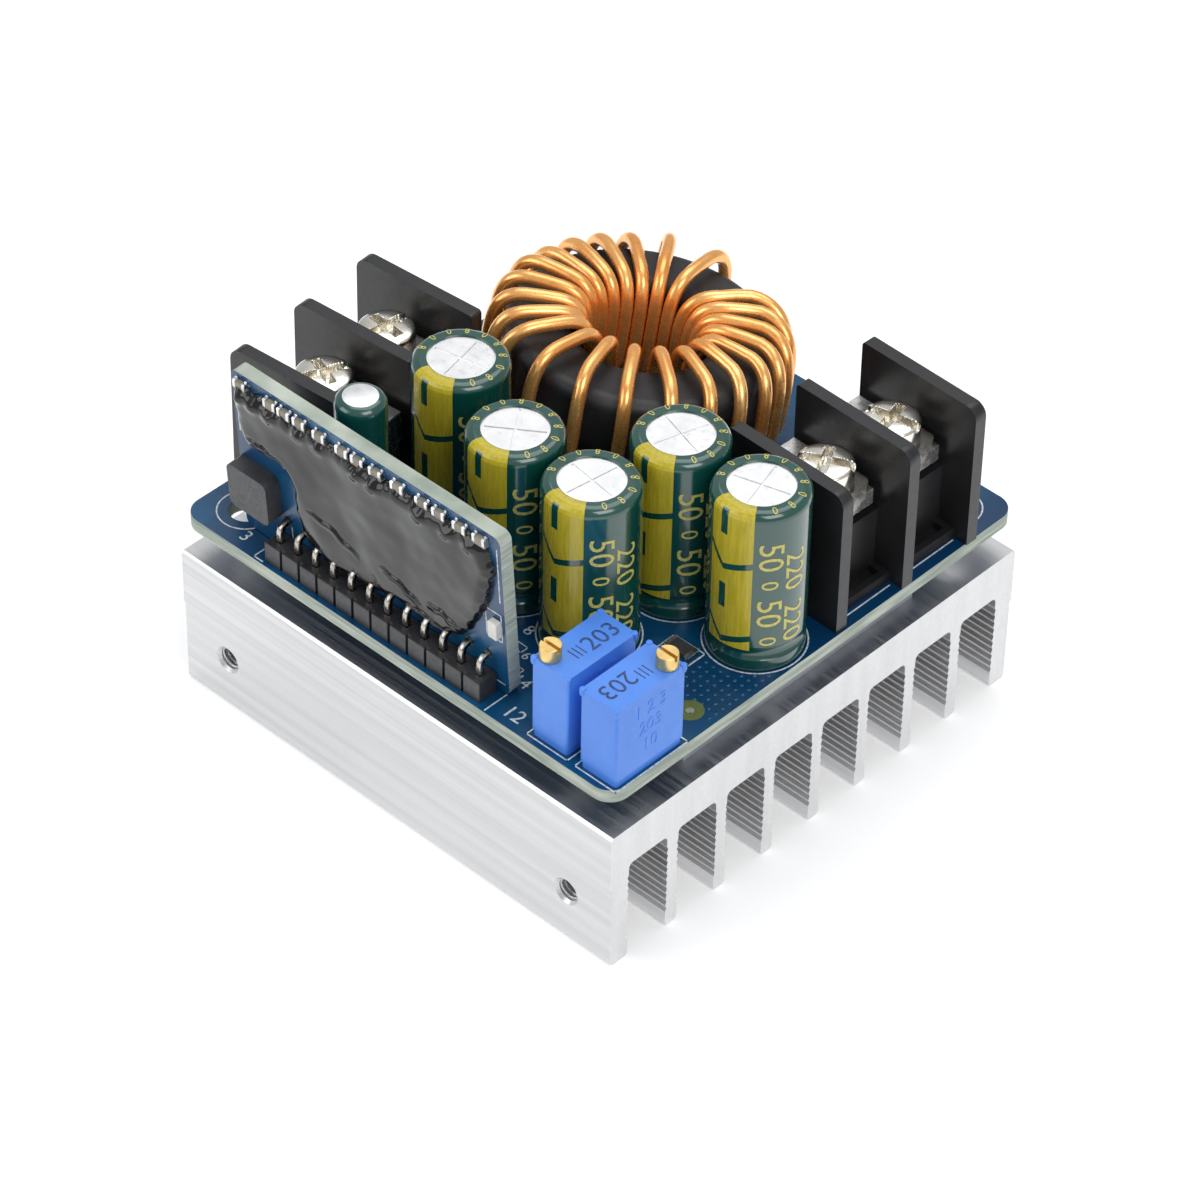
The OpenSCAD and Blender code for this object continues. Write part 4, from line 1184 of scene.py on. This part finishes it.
@dataclass
class MainBoard:
    """The blue board with its printed outlines and rows of plated holes."""

    stroke: float = 0.16 * MM
    fine_stroke: float = 0.13 * MM
    print_lift: float = 0.004 * MM
    ring_radius: float = 3.0 * MM
    hole_inset: float = 4.65 * MM
    can_ring: float = 5.3 * MM
    trimmer_margin: float = 0.3 * MM
    shunt_margin: float = 0.45 * MM
    strokes: tuple[tuple[float, ...], ...] = ((28.7, 5.3, 28.7, 11.7), (28.7, 14.9, 28.7, 21.4))
    words: tuple[tuple[str, float, float, float], ...] = (
        ("3", -22.4, -28.2, 1.5), ("12", 15.3, -28.2, 1.7), ("8", 7.8, -18.4, 1.4),
        ("14", 12.5, -24.3, 1.4), ("6", 10.2, -21.3, 1.1))
    frames: tuple[Point2, ...] = ((7.6, -20.3), (9.6, -22.9), (13.2, -22.2))
    frame_size: Point2 = (1.9, 1.0)
    target: Point2 = (27.04 * MM, -15.74 * MM)
    via_radius: float = 0.22 * MM
    via_start: Point2 = (21.5, -15.2)
    via_pitch: float = 0.95
    via_rows: tuple[int, int] = (9, 10)
    via_clearance: float = 5.5 * MM
    via_lift: float = 0.006 * MM
    via_height: float = 0.01 * MM

    def place(self, x: float, y: float, over: float) -> Vector:
        """A place on the board's top, for frame coordinates."""
        return Vector((x, y, box_of("main_board")[1].z + over + self.print_lift))

    def outlines(self, sheet: PrintSheet) -> None:
        """Draws the outlines round what stands on the board."""
        high = box_of("main_board")[1]
        for side in (-1, 1):
            sheet.circle((side * (high.x - self.hole_inset), side * (high.y - self.hole_inset)),
                         self.ring_radius, self.stroke)
        for label in "abcde":
            sheet.circle(middle(f"sleeve_{label}").xy, self.can_ring, self.stroke)
        low, high = box_of("header_block")
        left, right = low.x - 1.3 * MM, high.x + 1.0 * MM
        front, back = low.y - 0.25 * MM, high.y + 0.3 * MM
        sheet.path([(left + 1.2 * MM, front), (left, front), (left, back)], self.stroke)
        sheet.path([(right, front), (right, back)], self.stroke)
        for node, margin in (("trimmer_a", self.trimmer_margin),
                             ("trimmer_b", self.trimmer_margin),
                             ("current_shunt", self.shunt_margin)):
            low, high = box_of(node)
            sheet.frame(low.x - margin, low.y - margin, high.x + margin, high.y + margin,
                        self.stroke)

    def print_marks(self) -> None:
        """Prints the white outlines and plain numbers, and the bare ring with its dot."""
        sheet = PrintSheet()
        self.outlines(sheet)
        for stroke in self.strokes:
            x0, y0, x1, y1 = (v * MM for v in stroke)
            sheet.line((x0, y0), (x1, y1), self.stroke)
        for word, x, y, size in self.words:
            sheet.digits(word, (x * MM, y * MM), size * MM)
        width, depth = self.frame_size
        for x, y in self.frames:
            sheet.frame(x * MM, (y - depth) * MM, (x + width) * MM, y * MM, self.fine_stroke)
        sheet.lay("board_print", self.place, Finish.PRINT_WHITE, "circuit_board")
        for name, radius, width, finish in (("target_ring", 0.95 * MM, 1.0 * MM, Finish.OLIVE),
                                            ("target_dot", 0.22 * MM, 0.43 * MM, Finish.TINNED)):
            mark = PrintSheet()
            mark.circle(self.target, radius, width)
            mark.lay(name, self.place, finish, "circuit_board")

    def plated_holes(self) -> None:
        """Sets a field of small plated holes round the current shunt."""
        top = box_of("main_board")[1].z + self.via_lift
        can = middle("sleeve_e")
        points = []
        for i in range(self.via_rows[0]):
            for j in range(self.via_rows[1]):
                x = (self.via_start[0] + i * self.via_pitch) * MM
                y = (self.via_start[1] + j * self.via_pitch) * MM
                if math.hypot(x - can.x, y - can.y) > self.via_clearance:
                    points.append((x, y, top))
        mesh = bpy.data.meshes.new("via_points")
        mesh.from_pydata(points, [], [])
        tree = GeometryTree("plated_holes")
        disc = tree.node("GeometryNodeMeshCylinder", Vertices=12,
                         Radius=tree.number("Hole radius", self.via_radius),
                         Depth=tree.number("Hole height", self.via_height))
        spread = tree.node("GeometryNodeInstanceOnPoints", Points=tree.entry.outputs["Geometry"],
                           Instance=disc.outputs["Mesh"])
        tree.bake("plated_holes", mesh, spread.outputs[0], Finish.VIA)

    def shunt_ends(self) -> None:
        """Puts bright metal ends on the current shunt."""
        low, high = box_of("current_shunt")
        end, over, rounding = 0.5 * MM, 0.02 * MM, 0.06 * MM
        work = bmesh.new()
        for x0, x1 in ((low.x - over, low.x + end), (high.x - end, high.x + over)):
            box_mesh(work, (x0, low.y - over, low.z), (x1, high.y + over, high.z + over),
                     lambda x, y, z: (x, y, z))
        bmesh.ops.bevel(work, geom=list(work.edges), offset=rounding, segments=2, affect="EDGES")
        add_piece("shunt_ends", work, Finish.SOLDER)

    def build(self) -> None:
        """Dresses the board and what is soldered to it."""
        self.shunt_ends()
        finish_node("main_board", Finish.MAIN_BOARD)
        soften("main_board", 0.07 * MM, 1)
        finish_node("solder_joints", Finish.SOLDER)
        finish_node("current_shunt", Finish.DEVICE)
        self.print_marks()
        self.plated_holes()


@dataclass
class ResinLump:
    """The black resin poured over the control board's chips, in board coordinates and millimetres.

    It keeps to the frame's outline and height, and adds the ragged rim, swells and creases. The
    seed holds the rim to one draw, so that each run gives the same lump.
    """

    seed: int = 1795457289
    height: float = 1.1
    shoulder: float = 1.3
    step: float = 0.15
    outline: tuple[Point2, ...] = (
        (1.2, 19.1), (4.4, 19.0), (10.0, 18.9), (22.0, 19.0), (29.0, 19.1), (34.2, 18.9),
        (36.0, 17.4), (36.0, 15.2), (35.0, 11.4), (33.0, 7.4), (30.8, 4.6), (27.5, 3.6),
        (22.2, 4.0), (17.9, 2.9), (11.6, 3.2), (9.4, 4.8), (8.6, 8.0), (8.6, 11.2), (6.9, 12.6),
        (3.6, 12.3), (1.5, 12.9), (0.7, 15.6))
    creases: tuple[tuple[Point2, Point2], ...] = (
        ((10.8, 9.4), (17.9, 7.4)), ((20.7, 8.0), (26.2, 6.2)), ((27.0, 6.8), (31.6, 6.9)),
        ((23.4, 4.5), (29.6, 4.6)), ((2.2, 13.6), (8.2, 13.4)))
    climb: float = 1.1
    bead_places: tuple[float, ...] = (1.6, 3.6, 5.9, 10, 12.8, 18.1, 20.6, 26.9, 30.6, 33.4)

    def rim(self) -> list[Vector]:
        """The outline as a smooth, slightly ragged closed line."""
        noise.seed_set(self.seed)
        count, parts = len(self.outline), 24
        line = []
        for i in range(count):
            a, b, c, d = (Vector(self.outline[(i + k) % count]) for k in (-1, 0, 1, 2))
            for t in (k / parts for k in range(parts)):
                point = (2 * b + (c - a) * t + (2 * a - 5 * b + 4 * c - d) * t * t
                         + (3 * b - a - 3 * c + d) * t * t * t) / 2
                wander = Vector(noise.noise_vector(Vector((*point, 0)) * 0.9)[:2]) * 0.22
                climb = max(0.0, min(1.0, (point.y - 17.5) / 1.2)) * self.climb
                wave = 0.5 + 0.5 * noise.noise(Vector((point.x * 1.1, 5, 2)))
                line.append(point + wander + Vector((0, climb * wave)))
        return line

    def level(self, x: float, y: float, inside: float) -> float:
        """The resin's height at a place that lies some way inside its rim."""
        share = min(inside / self.shoulder, 1.0)
        level = self.height * math.sqrt(max(0.0, 1 - (1 - share) ** 2))
        swell = noise.noise(Vector((x * 0.13 + y * 0.07, y * 0.16 - x * 0.05, 0.7)))
        ripple = noise.noise(Vector((x * 0.45, y * 0.5, 4.2)))
        level *= 0.92 + 0.42 * swell + 0.06 * ripple
        for place in self.bead_places:
            away = ((x - place) / 0.7) ** 2 + ((y - 18.5) / 0.6) ** 2
            level += 0.35 * math.exp(-away) * min(share * 2, 1)
        for start, end in self.creases:
            a, b = Vector(start), Vector(end)
            along = (b - a).normalized()
            offset = Vector((x, y)) - a
            run = offset.dot(along) / (b - a).length
            if -0.1 < run < 1.1:
                bend = 0.3 * math.sin(run * math.pi * 1.5) + 0.12 * math.sin(run * 17)
                across = offset.dot(Vector((-along.y, along.x))) - bend
                fade = max(0.0, math.sin(max(0.0, min(1.0, run)) * math.pi)) ** 0.5
                level -= 0.3 * fade * math.exp(-((across / 0.12) ** 2))
                level += 0.1 * fade * math.exp(-(((across + 0.4) / 0.25) ** 2))
        return max(level, 0.02)

    def build(self, placer: Placer) -> None:
        """Makes the lump on the board.

        Args:
            placer: Turns board coordinates and a height in metres into a place.
        """
        rim = self.rim()
        tree = KDTree(len(rim))
        for index, point in enumerate(rim):
            tree.insert((*point, 0), index)
        tree.balance()
        work = bmesh.new()
        grid: dict[tuple[int, int], tuple[bmesh.types.BMVert, float]] = {}
        columns = range(int(37.5 / self.step))
        rows = range(int(1.5 / self.step), int(20.4 / self.step))
        for i in columns:
            for j in rows:
                x, y = i * self.step, j * self.step
                near, index, distance = tree.find((x, y, 0))
                ahead = rim[(index + 1) % len(rim)] - rim[index - 1]
                side = ahead.y * (x - near.x) - ahead.x * (y - near.y)
                inside = math.copysign(distance, side)
                height = self.level(x, y, inside) if inside > 0 else -0.02
                where = (x, y) if inside > 0 else (near.x, near.y)
                place = placer(where[0] * MM, where[1] * MM, height * MM)
                grid[i, j] = (work.verts.new(place), inside)
        for i in columns[:-1]:
            for j in rows[:-1]:
                corners = [grid[i, j], grid[i + 1, j], grid[i + 1, j + 1], grid[i, j + 1]]
                if any(inside > 0 for _, inside in corners):
                    work.faces.new([vertex for vertex, _ in corners])
        bmesh.ops.delete(work, geom=[v for v in work.verts if not v.link_faces], context="VERTS")
        lump = add_piece("resin_lump", work, Finish.RESIN, smooth_angle=80)
        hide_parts("control_potting")


@dataclass
class ControlBoard:
    """The upright board with its resin lump, chips, choke, lamp and header."""

    lean: float = 4.1
    length: float = 37.0 * MM
    height: float = 21.1 * MM
    chip_places: tuple[float, ...] = (1.6, 5.9, 7.9, 10, 12.8, 16, 18.1, 20.6, 23.6, 26.9, 29.2,
                                      32, 34.6)
    chip_inset: float = 1.25 * MM
    chip_length: float = 1.7 * MM
    chip_width: float = 0.9 * MM
    chip_height: float = 0.58 * MM
    end_length: float = 0.42 * MM
    end_over: float = 0.03 * MM
    end_rounding: float = 0.07 * MM
    solder_reach: float = 0.22 * MM
    solder_height: float = 0.2 * MM
    stroke: float = 0.14 * MM
    lines: tuple[tuple[Point2, ...], ...] = (
        ((36.5, 12.4), (36.5, 19.4)), ((0.5, 13.0), (0.5, 20.1), (2.6, 20.1)),
        ((6.9, 3.6), (6.9, 1.0)), ((31.6, 1.2), (36.4, 1.2)),
        ((34.4, 7.0), (34.4, 10.6), (36.5, 10.6), (36.5, 7.0), (34.4, 7.0)))

    def placer(self) -> Placer:
        """Lays a sheet on the board's front: x along it, y up it, from its lower left corner."""
        low, high = box_of("control_board")
        lean = math.radians(self.lean)
        foot = Vector((low.x, low.y + self.height * math.sin(lean),
                       high.z - self.height * math.cos(lean)))

        def place(x: float, y: float, over: float) -> Vector:
            """A place on the board's front."""
            return foot + Vector((x, -y * math.sin(lean) - over * math.cos(lean),
                                  y * math.cos(lean) - over * math.sin(lean)))

        return place

    def chip_ends(self) -> None:
        """Puts a metal end and a little solder on both ends of each chip."""
        place = self.placer()
        work = bmesh.new()
        y0 = self.height - self.chip_inset - self.chip_width / 2
        y1 = y0 + self.chip_width
        half = self.end_length / 2
        for index, centre in enumerate(self.chip_places):
            top = self.chip_height + self.end_over * (1 + index % 3)
            for side in (-1, 1):
                x = centre * MM + side * (self.chip_length / 2 - half)
                box_mesh(work, (x - half - self.end_over, y0, 0),
                         (x + half + self.end_over, y1 + 0.04 * MM, top), place)
                box_mesh(work, (x - half, y1, 0),
                         (x + half, y1 + self.solder_reach, self.solder_height), place)
        bmesh.ops.bevel(work, geom=list(work.edges), offset=self.end_rounding, segments=2,
                        affect="EDGES")
        add_piece("chip_ends", work, Finish.SOLDER)

    def print_marks(self) -> None:
        """Prints the outlines on the board's front."""
        sheet = PrintSheet()
        for line in self.lines:
            sheet.path([(x * MM, y * MM) for x, y in line], self.stroke)
        sheet.digits("5", (33.7 * MM, 9.6 * MM), 1.1 * MM, 90)
        sheet.lay("control_print", self.placer(), Finish.PRINT_WHITE, "circuit_board")

    def build(self) -> None:
        """Dresses the board and everything on it."""
        for node, finish, rounding, segments in (
                ("control_board", Finish.CONTROL_BOARD, 0.08, 1),
                ("control_choke", Finish.DEVICE, 0.25, 3),
                ("control_lamp", Finish.LAMP, 0.15, 2),
                ("header_block", Finish.HEADER, 0.1, 2),
                ("header_pins", Finish.PIN, 0.16, 2)):
            finish_node(node, finish)
            soften(node, rounding * MM, segments)
        finish_node("control_chips", Finish.CERAMIC)
        ResinLump().build(self.placer())
        self.chip_ends()
        self.print_marks()


@dataclass
class Trimmers:
    """The two blue adjusters with their brass screws, corner nubs and plain numbers."""

    word: str = "203"
    screw_radius: float = 1.12 * MM
    screw_height: float = 1.6 * MM
    slot_width: float = 0.4 * MM
    slot_depth: float = 0.6 * MM
    shaft_radius: float = 0.75 * MM
    screw_rounding: float = 0.05 * MM
    screw_steps: int = 32
    nub_inset: float = 0.16 * MM
    nub_profile: tuple[Point2, ...] = ((0, -0.9), (0.238, -0.8), (0.34, -0.5), (0.34, 0.05),
                                       (0.272, 0.13), (0, 0.15))
    word_place: Point2 = (0.3 * MM, 2.0 * MM)
    word_size: float = 2.0 * MM
    bars: tuple[float, ...] = (1.75 * MM, 1.2 * MM, 0.65 * MM)
    bar_ends: Point2 = (-0.5 * MM, 0.9 * MM)
    bar_width: float = 0.13 * MM
    side_words: tuple[str, ...] = ("1 2 3", "203", "10")
    side_size: float = 1.5 * MM
    side_first: float = 2.2 * MM
    side_pitch: float = 2.3 * MM
    side_height: float = 0.05 * MM

    def nubs(self, label: str) -> None:
        """Puts a small round nub at each upper corner of an adjuster."""
        low, high = box_of(f"trimmer_{label}")
        profile = [(radius * MM, height * MM) for radius, height in self.nub_profile]
        work = bmesh.new()
        for x in (low.x + self.nub_inset, high.x - self.nub_inset):
            for y in (low.y + self.nub_inset, high.y - self.nub_inset):
                skin(work, turned_rings(work, profile, Vector((x, y, high.z)), 16))
        add_piece(f"trimmer_nubs_{label}", work, Finish.TRIMMER)

    def numbers(self, label: str, turn: float) -> None:
        """Prints an adjuster's top and raises faint numbers on its +X side.

        Args:
            label: The adjuster's letter.
            turn: The direction in which the top print reads, in degrees.
        """
        high = box_of(f"trimmer_{label}")[1]
        centre = middle(f"trimmer_{label}")
        away = math.copysign(1, turn)

        def on_top(x: float, y: float, over: float) -> Vector:
            """A place on the adjuster's top."""
            return Vector((x, y, high.z + over + 0.003 * MM))

        def on_side(x: float, y: float, over: float) -> Vector:
            """A place on the adjuster's +X side, with x along it."""
            return Vector((high.x + over, x, y))

        top = PrintSheet()
        top.digits(self.word, (centre.x + self.word_place[0] * away,
                               centre.y + self.word_place[1] * away), self.word_size, turn)
        for place in self.bars:
            y = centre.y - place * away
            top.line((centre.x + self.bar_ends[0], y), (centre.x + self.bar_ends[1], y),
                     self.bar_width)
        top.lay(f"trimmer_print_{label}", on_top, Finish.PRINT_DARK, "trimmer_blue")
        side = PrintSheet()
        for row, word in enumerate(self.side_words):
            side.digits(word, (centre.y, high.z - self.side_first - row * self.side_pitch),
                        self.side_size)
        side.lay(f"trimmer_relief_{label}", on_side, Finish.TRIMMER, "trimmer_blue",
                 thickness=self.side_height)

    def screw(self, label: str) -> None:
        """Makes an adjuster's slotted brass screw and fixes it to its own body."""
        node = f"trimmer_screw_{label}"
        foot = top_middle(node, self.screw_height)
        tip = box_of(node)[0].z - foot.z
        radius, rim = self.screw_radius, self.screw_rounding
        floor = self.screw_height - self.slot_depth
        work = bmesh.new()
        skin(work, turned_rings(work, [
            (0, tip), (self.shaft_radius, tip), (self.shaft_radius, 0.0), (radius - rim, 0.0),
            (radius, rim), (radius, floor), (0, floor)], foot, 2 * self.screw_steps))
        half = self.slot_width / 2
        start = math.asin(half / radius)
        for side in (1, -1):
            angles = [start + (math.pi - 2 * start) * k / self.screw_steps
                      for k in range(self.screw_steps + 1)]
            loops = [[work.verts.new(foot + Vector((reach * math.cos(angle),
                                                    side * max(half, reach * math.sin(angle)),
                                                    height))) for angle in angles]
                     for height, reach in ((floor - rim, radius), (self.screw_height - rim, radius),
                                           (self.screw_height, radius - rim))]
            skin(work, loops)
            work.faces.new(loops[0][::-1])
            work.faces.new(loops[-1])
        screw = add_piece(f"slotted_{node}", work, Finish.BRASS, node, 40)
        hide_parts(node)

    def build(self) -> None:
        """Dresses both adjusters."""
        for label, turn in (("a", 90.0), ("b", -90.0)):
            finish_node(f"trimmer_{label}", Finish.TRIMMER)
            self.screw(label)
            soften(f"trimmer_{label}", 0.14 * MM)
            self.nubs(label)
            self.numbers(label, turn)
        finish_node("trimmer_pins", Finish.TINNED)


# ---------------------------------------------------------------- studio


@dataclass
class Studio:
    """The pale floor, the soft lights and the camera."""

    azimuth: float = 42.830
    elevation: float = 41.542
    distance: float = 541.298 * MM
    target: Vector = field(default_factory=lambda: Vector((7.341, -7.679, 20.0)) * MM)
    roll: float = 1.171
    lens: float = 161.93
    world_strength: float = 0.55
    floor_size: float = 6.0
    floor_glow: float = 0.26
    mirror_glow: float = 0.45
    sensor: float = 36.0
    aim: Vector = field(default_factory=lambda: Vector((0, 0, 0.02)))
    lights: tuple[tuple[str, tuple[float, float, float], float, float], ...] = (
        ("key_light", (0.42, -0.12, 0.5), 0.34, 1.5),
        ("fill_light", (-0.32, -0.5, 0.34), 0.4, 1.2),
        ("top_light", (-0.1, 0.2, 0.6), 0.5, 1.5))

    def camera(self) -> None:
        """Sets up the camera."""
        azimuth, elevation = math.radians(self.azimuth), math.radians(self.elevation)
        back = Vector((math.sin(azimuth) * math.cos(elevation),
                       -math.cos(azimuth) * math.cos(elevation), math.sin(elevation)))
        right = (-back).cross(Vector((0, 0, 1))).normalized()
        up = right.cross(-back)
        roll = math.radians(self.roll)
        side = right * math.cos(roll) + up * math.sin(roll)
        top = up * math.cos(roll) - right * math.sin(roll)
        data = bpy.data.cameras.new("camera")
        data.lens = self.lens
        data.sensor_width = self.sensor
        data.clip_start, data.clip_end = 0.01, 20.0
        camera = bpy.data.objects.new("camera", data)
        turn = Matrix((side, top, back)).transposed().to_4x4()
        camera.matrix_world = Matrix.Translation(self.target + back * self.distance) @ turn
        bpy.context.scene.collection.objects.link(camera)
        bpy.context.scene.camera = camera

    def light(self, name: str, place: Sequence[float], size: float, power: float) -> None:
        """Adds a square soft light that looks at the module."""
        data = bpy.data.lights.new(name, "AREA")
        data.size = size
        data.energy = power
        lamp = bpy.data.objects.new(name, data)
        lamp.location = place
        lamp.rotation_mode = "QUATERNION"
        lamp.rotation_quaternion = (self.aim - Vector(place)).to_track_quat("-Z", "Y")
        bpy.context.scene.collection.objects.link(lamp)

    def world(self) -> None:
        """Lights the scene evenly and shows white behind it."""
        world = bpy.data.worlds.new("studio")
        bpy.context.scene.world = world
        world.use_nodes = True
        nodes, links = world.node_tree.nodes, world.node_tree.links
        path = nodes.new("ShaderNodeLightPath")
        plain = nodes["Background"]
        plain.inputs["Color"].default_value = (0.96, 0.98, 1.0, 1.0)
        plain.inputs["Strength"].default_value = self.world_strength
        white = nodes.new("ShaderNodeBackground")
        white.inputs["Color"].default_value = (1.0, 1.0, 1.0, 1.0)
        most = nodes.new("ShaderNodeMath")
        most.operation = "MAXIMUM"
        links.new(path.outputs["Is Camera Ray"], most.inputs[0])
        links.new(path.outputs["Is Transmission Ray"], most.inputs[1])
        mix = nodes.new("ShaderNodeMixShader")
        links.new(most.outputs[0], mix.inputs[0])
        links.new(plain.outputs[0], mix.inputs[1])
        links.new(white.outputs[0], mix.inputs[2])
        links.new(mix.outputs[0], nodes["World Output"].inputs[0])

    def floor(self) -> None:
        """Lays the floor, which keeps the module's soft shadow."""
        half = self.floor_size / 2
        mesh = bpy.data.meshes.new("floor")
        mesh.from_pydata([(-half, -half, 0), (half, -half, 0), (half, half, 0), (-half, half, 0)],
                         [], [(0, 1, 2, 3)])
        shader = Shader("floor_white", (0.86, 0.86, 0.86), 0.9)
        shader.constant("Specular IOR Level", 0.0)
        shader.constant("Emission Color", (1.0, 1.0, 1.0, 1.0))
        path = shader.nodes.new("ShaderNodeLightPath")
        seen = shader.calculate("MULTIPLY", path.outputs["Is Camera Ray"], self.floor_glow)
        mirrored = shader.calculate("MULTIPLY", path.outputs["Is Glossy Ray"], self.mirror_glow)
        shader.feed("Emission Strength", shader.calculate("ADD", seen, mirrored))
        mesh.materials.append(shader.material)
        floor = bpy.data.objects.new("floor", mesh)
        floor.location.z = -0.02 * MM
        bpy.context.scene.collection.objects.link(floor)

    def build(self) -> None:
        """Builds the studio."""
        self.camera()
        self.world()
        self.floor()
        for light in self.lights:
            self.light(*light)
        bpy.context.scene.view_settings.view_transform = "Standard"


def main() -> None:
    """Builds the studio and every sub-assembly in order."""
    logging.basicConfig(level=logging.INFO, format="%(name)s: %(message)s")
    assemblies: Iterable[object] = (Studio(), HeatSink(), MainBoard(), Inductor(), CapacitorBank(),
                                    TerminalBlocks(), ControlBoard(), Trimmers())
    for assembly in assemblies:
        assembly.build()
        LOG.info("built %s", type(assembly).__name__)


if __name__ == "__main__":
    main()
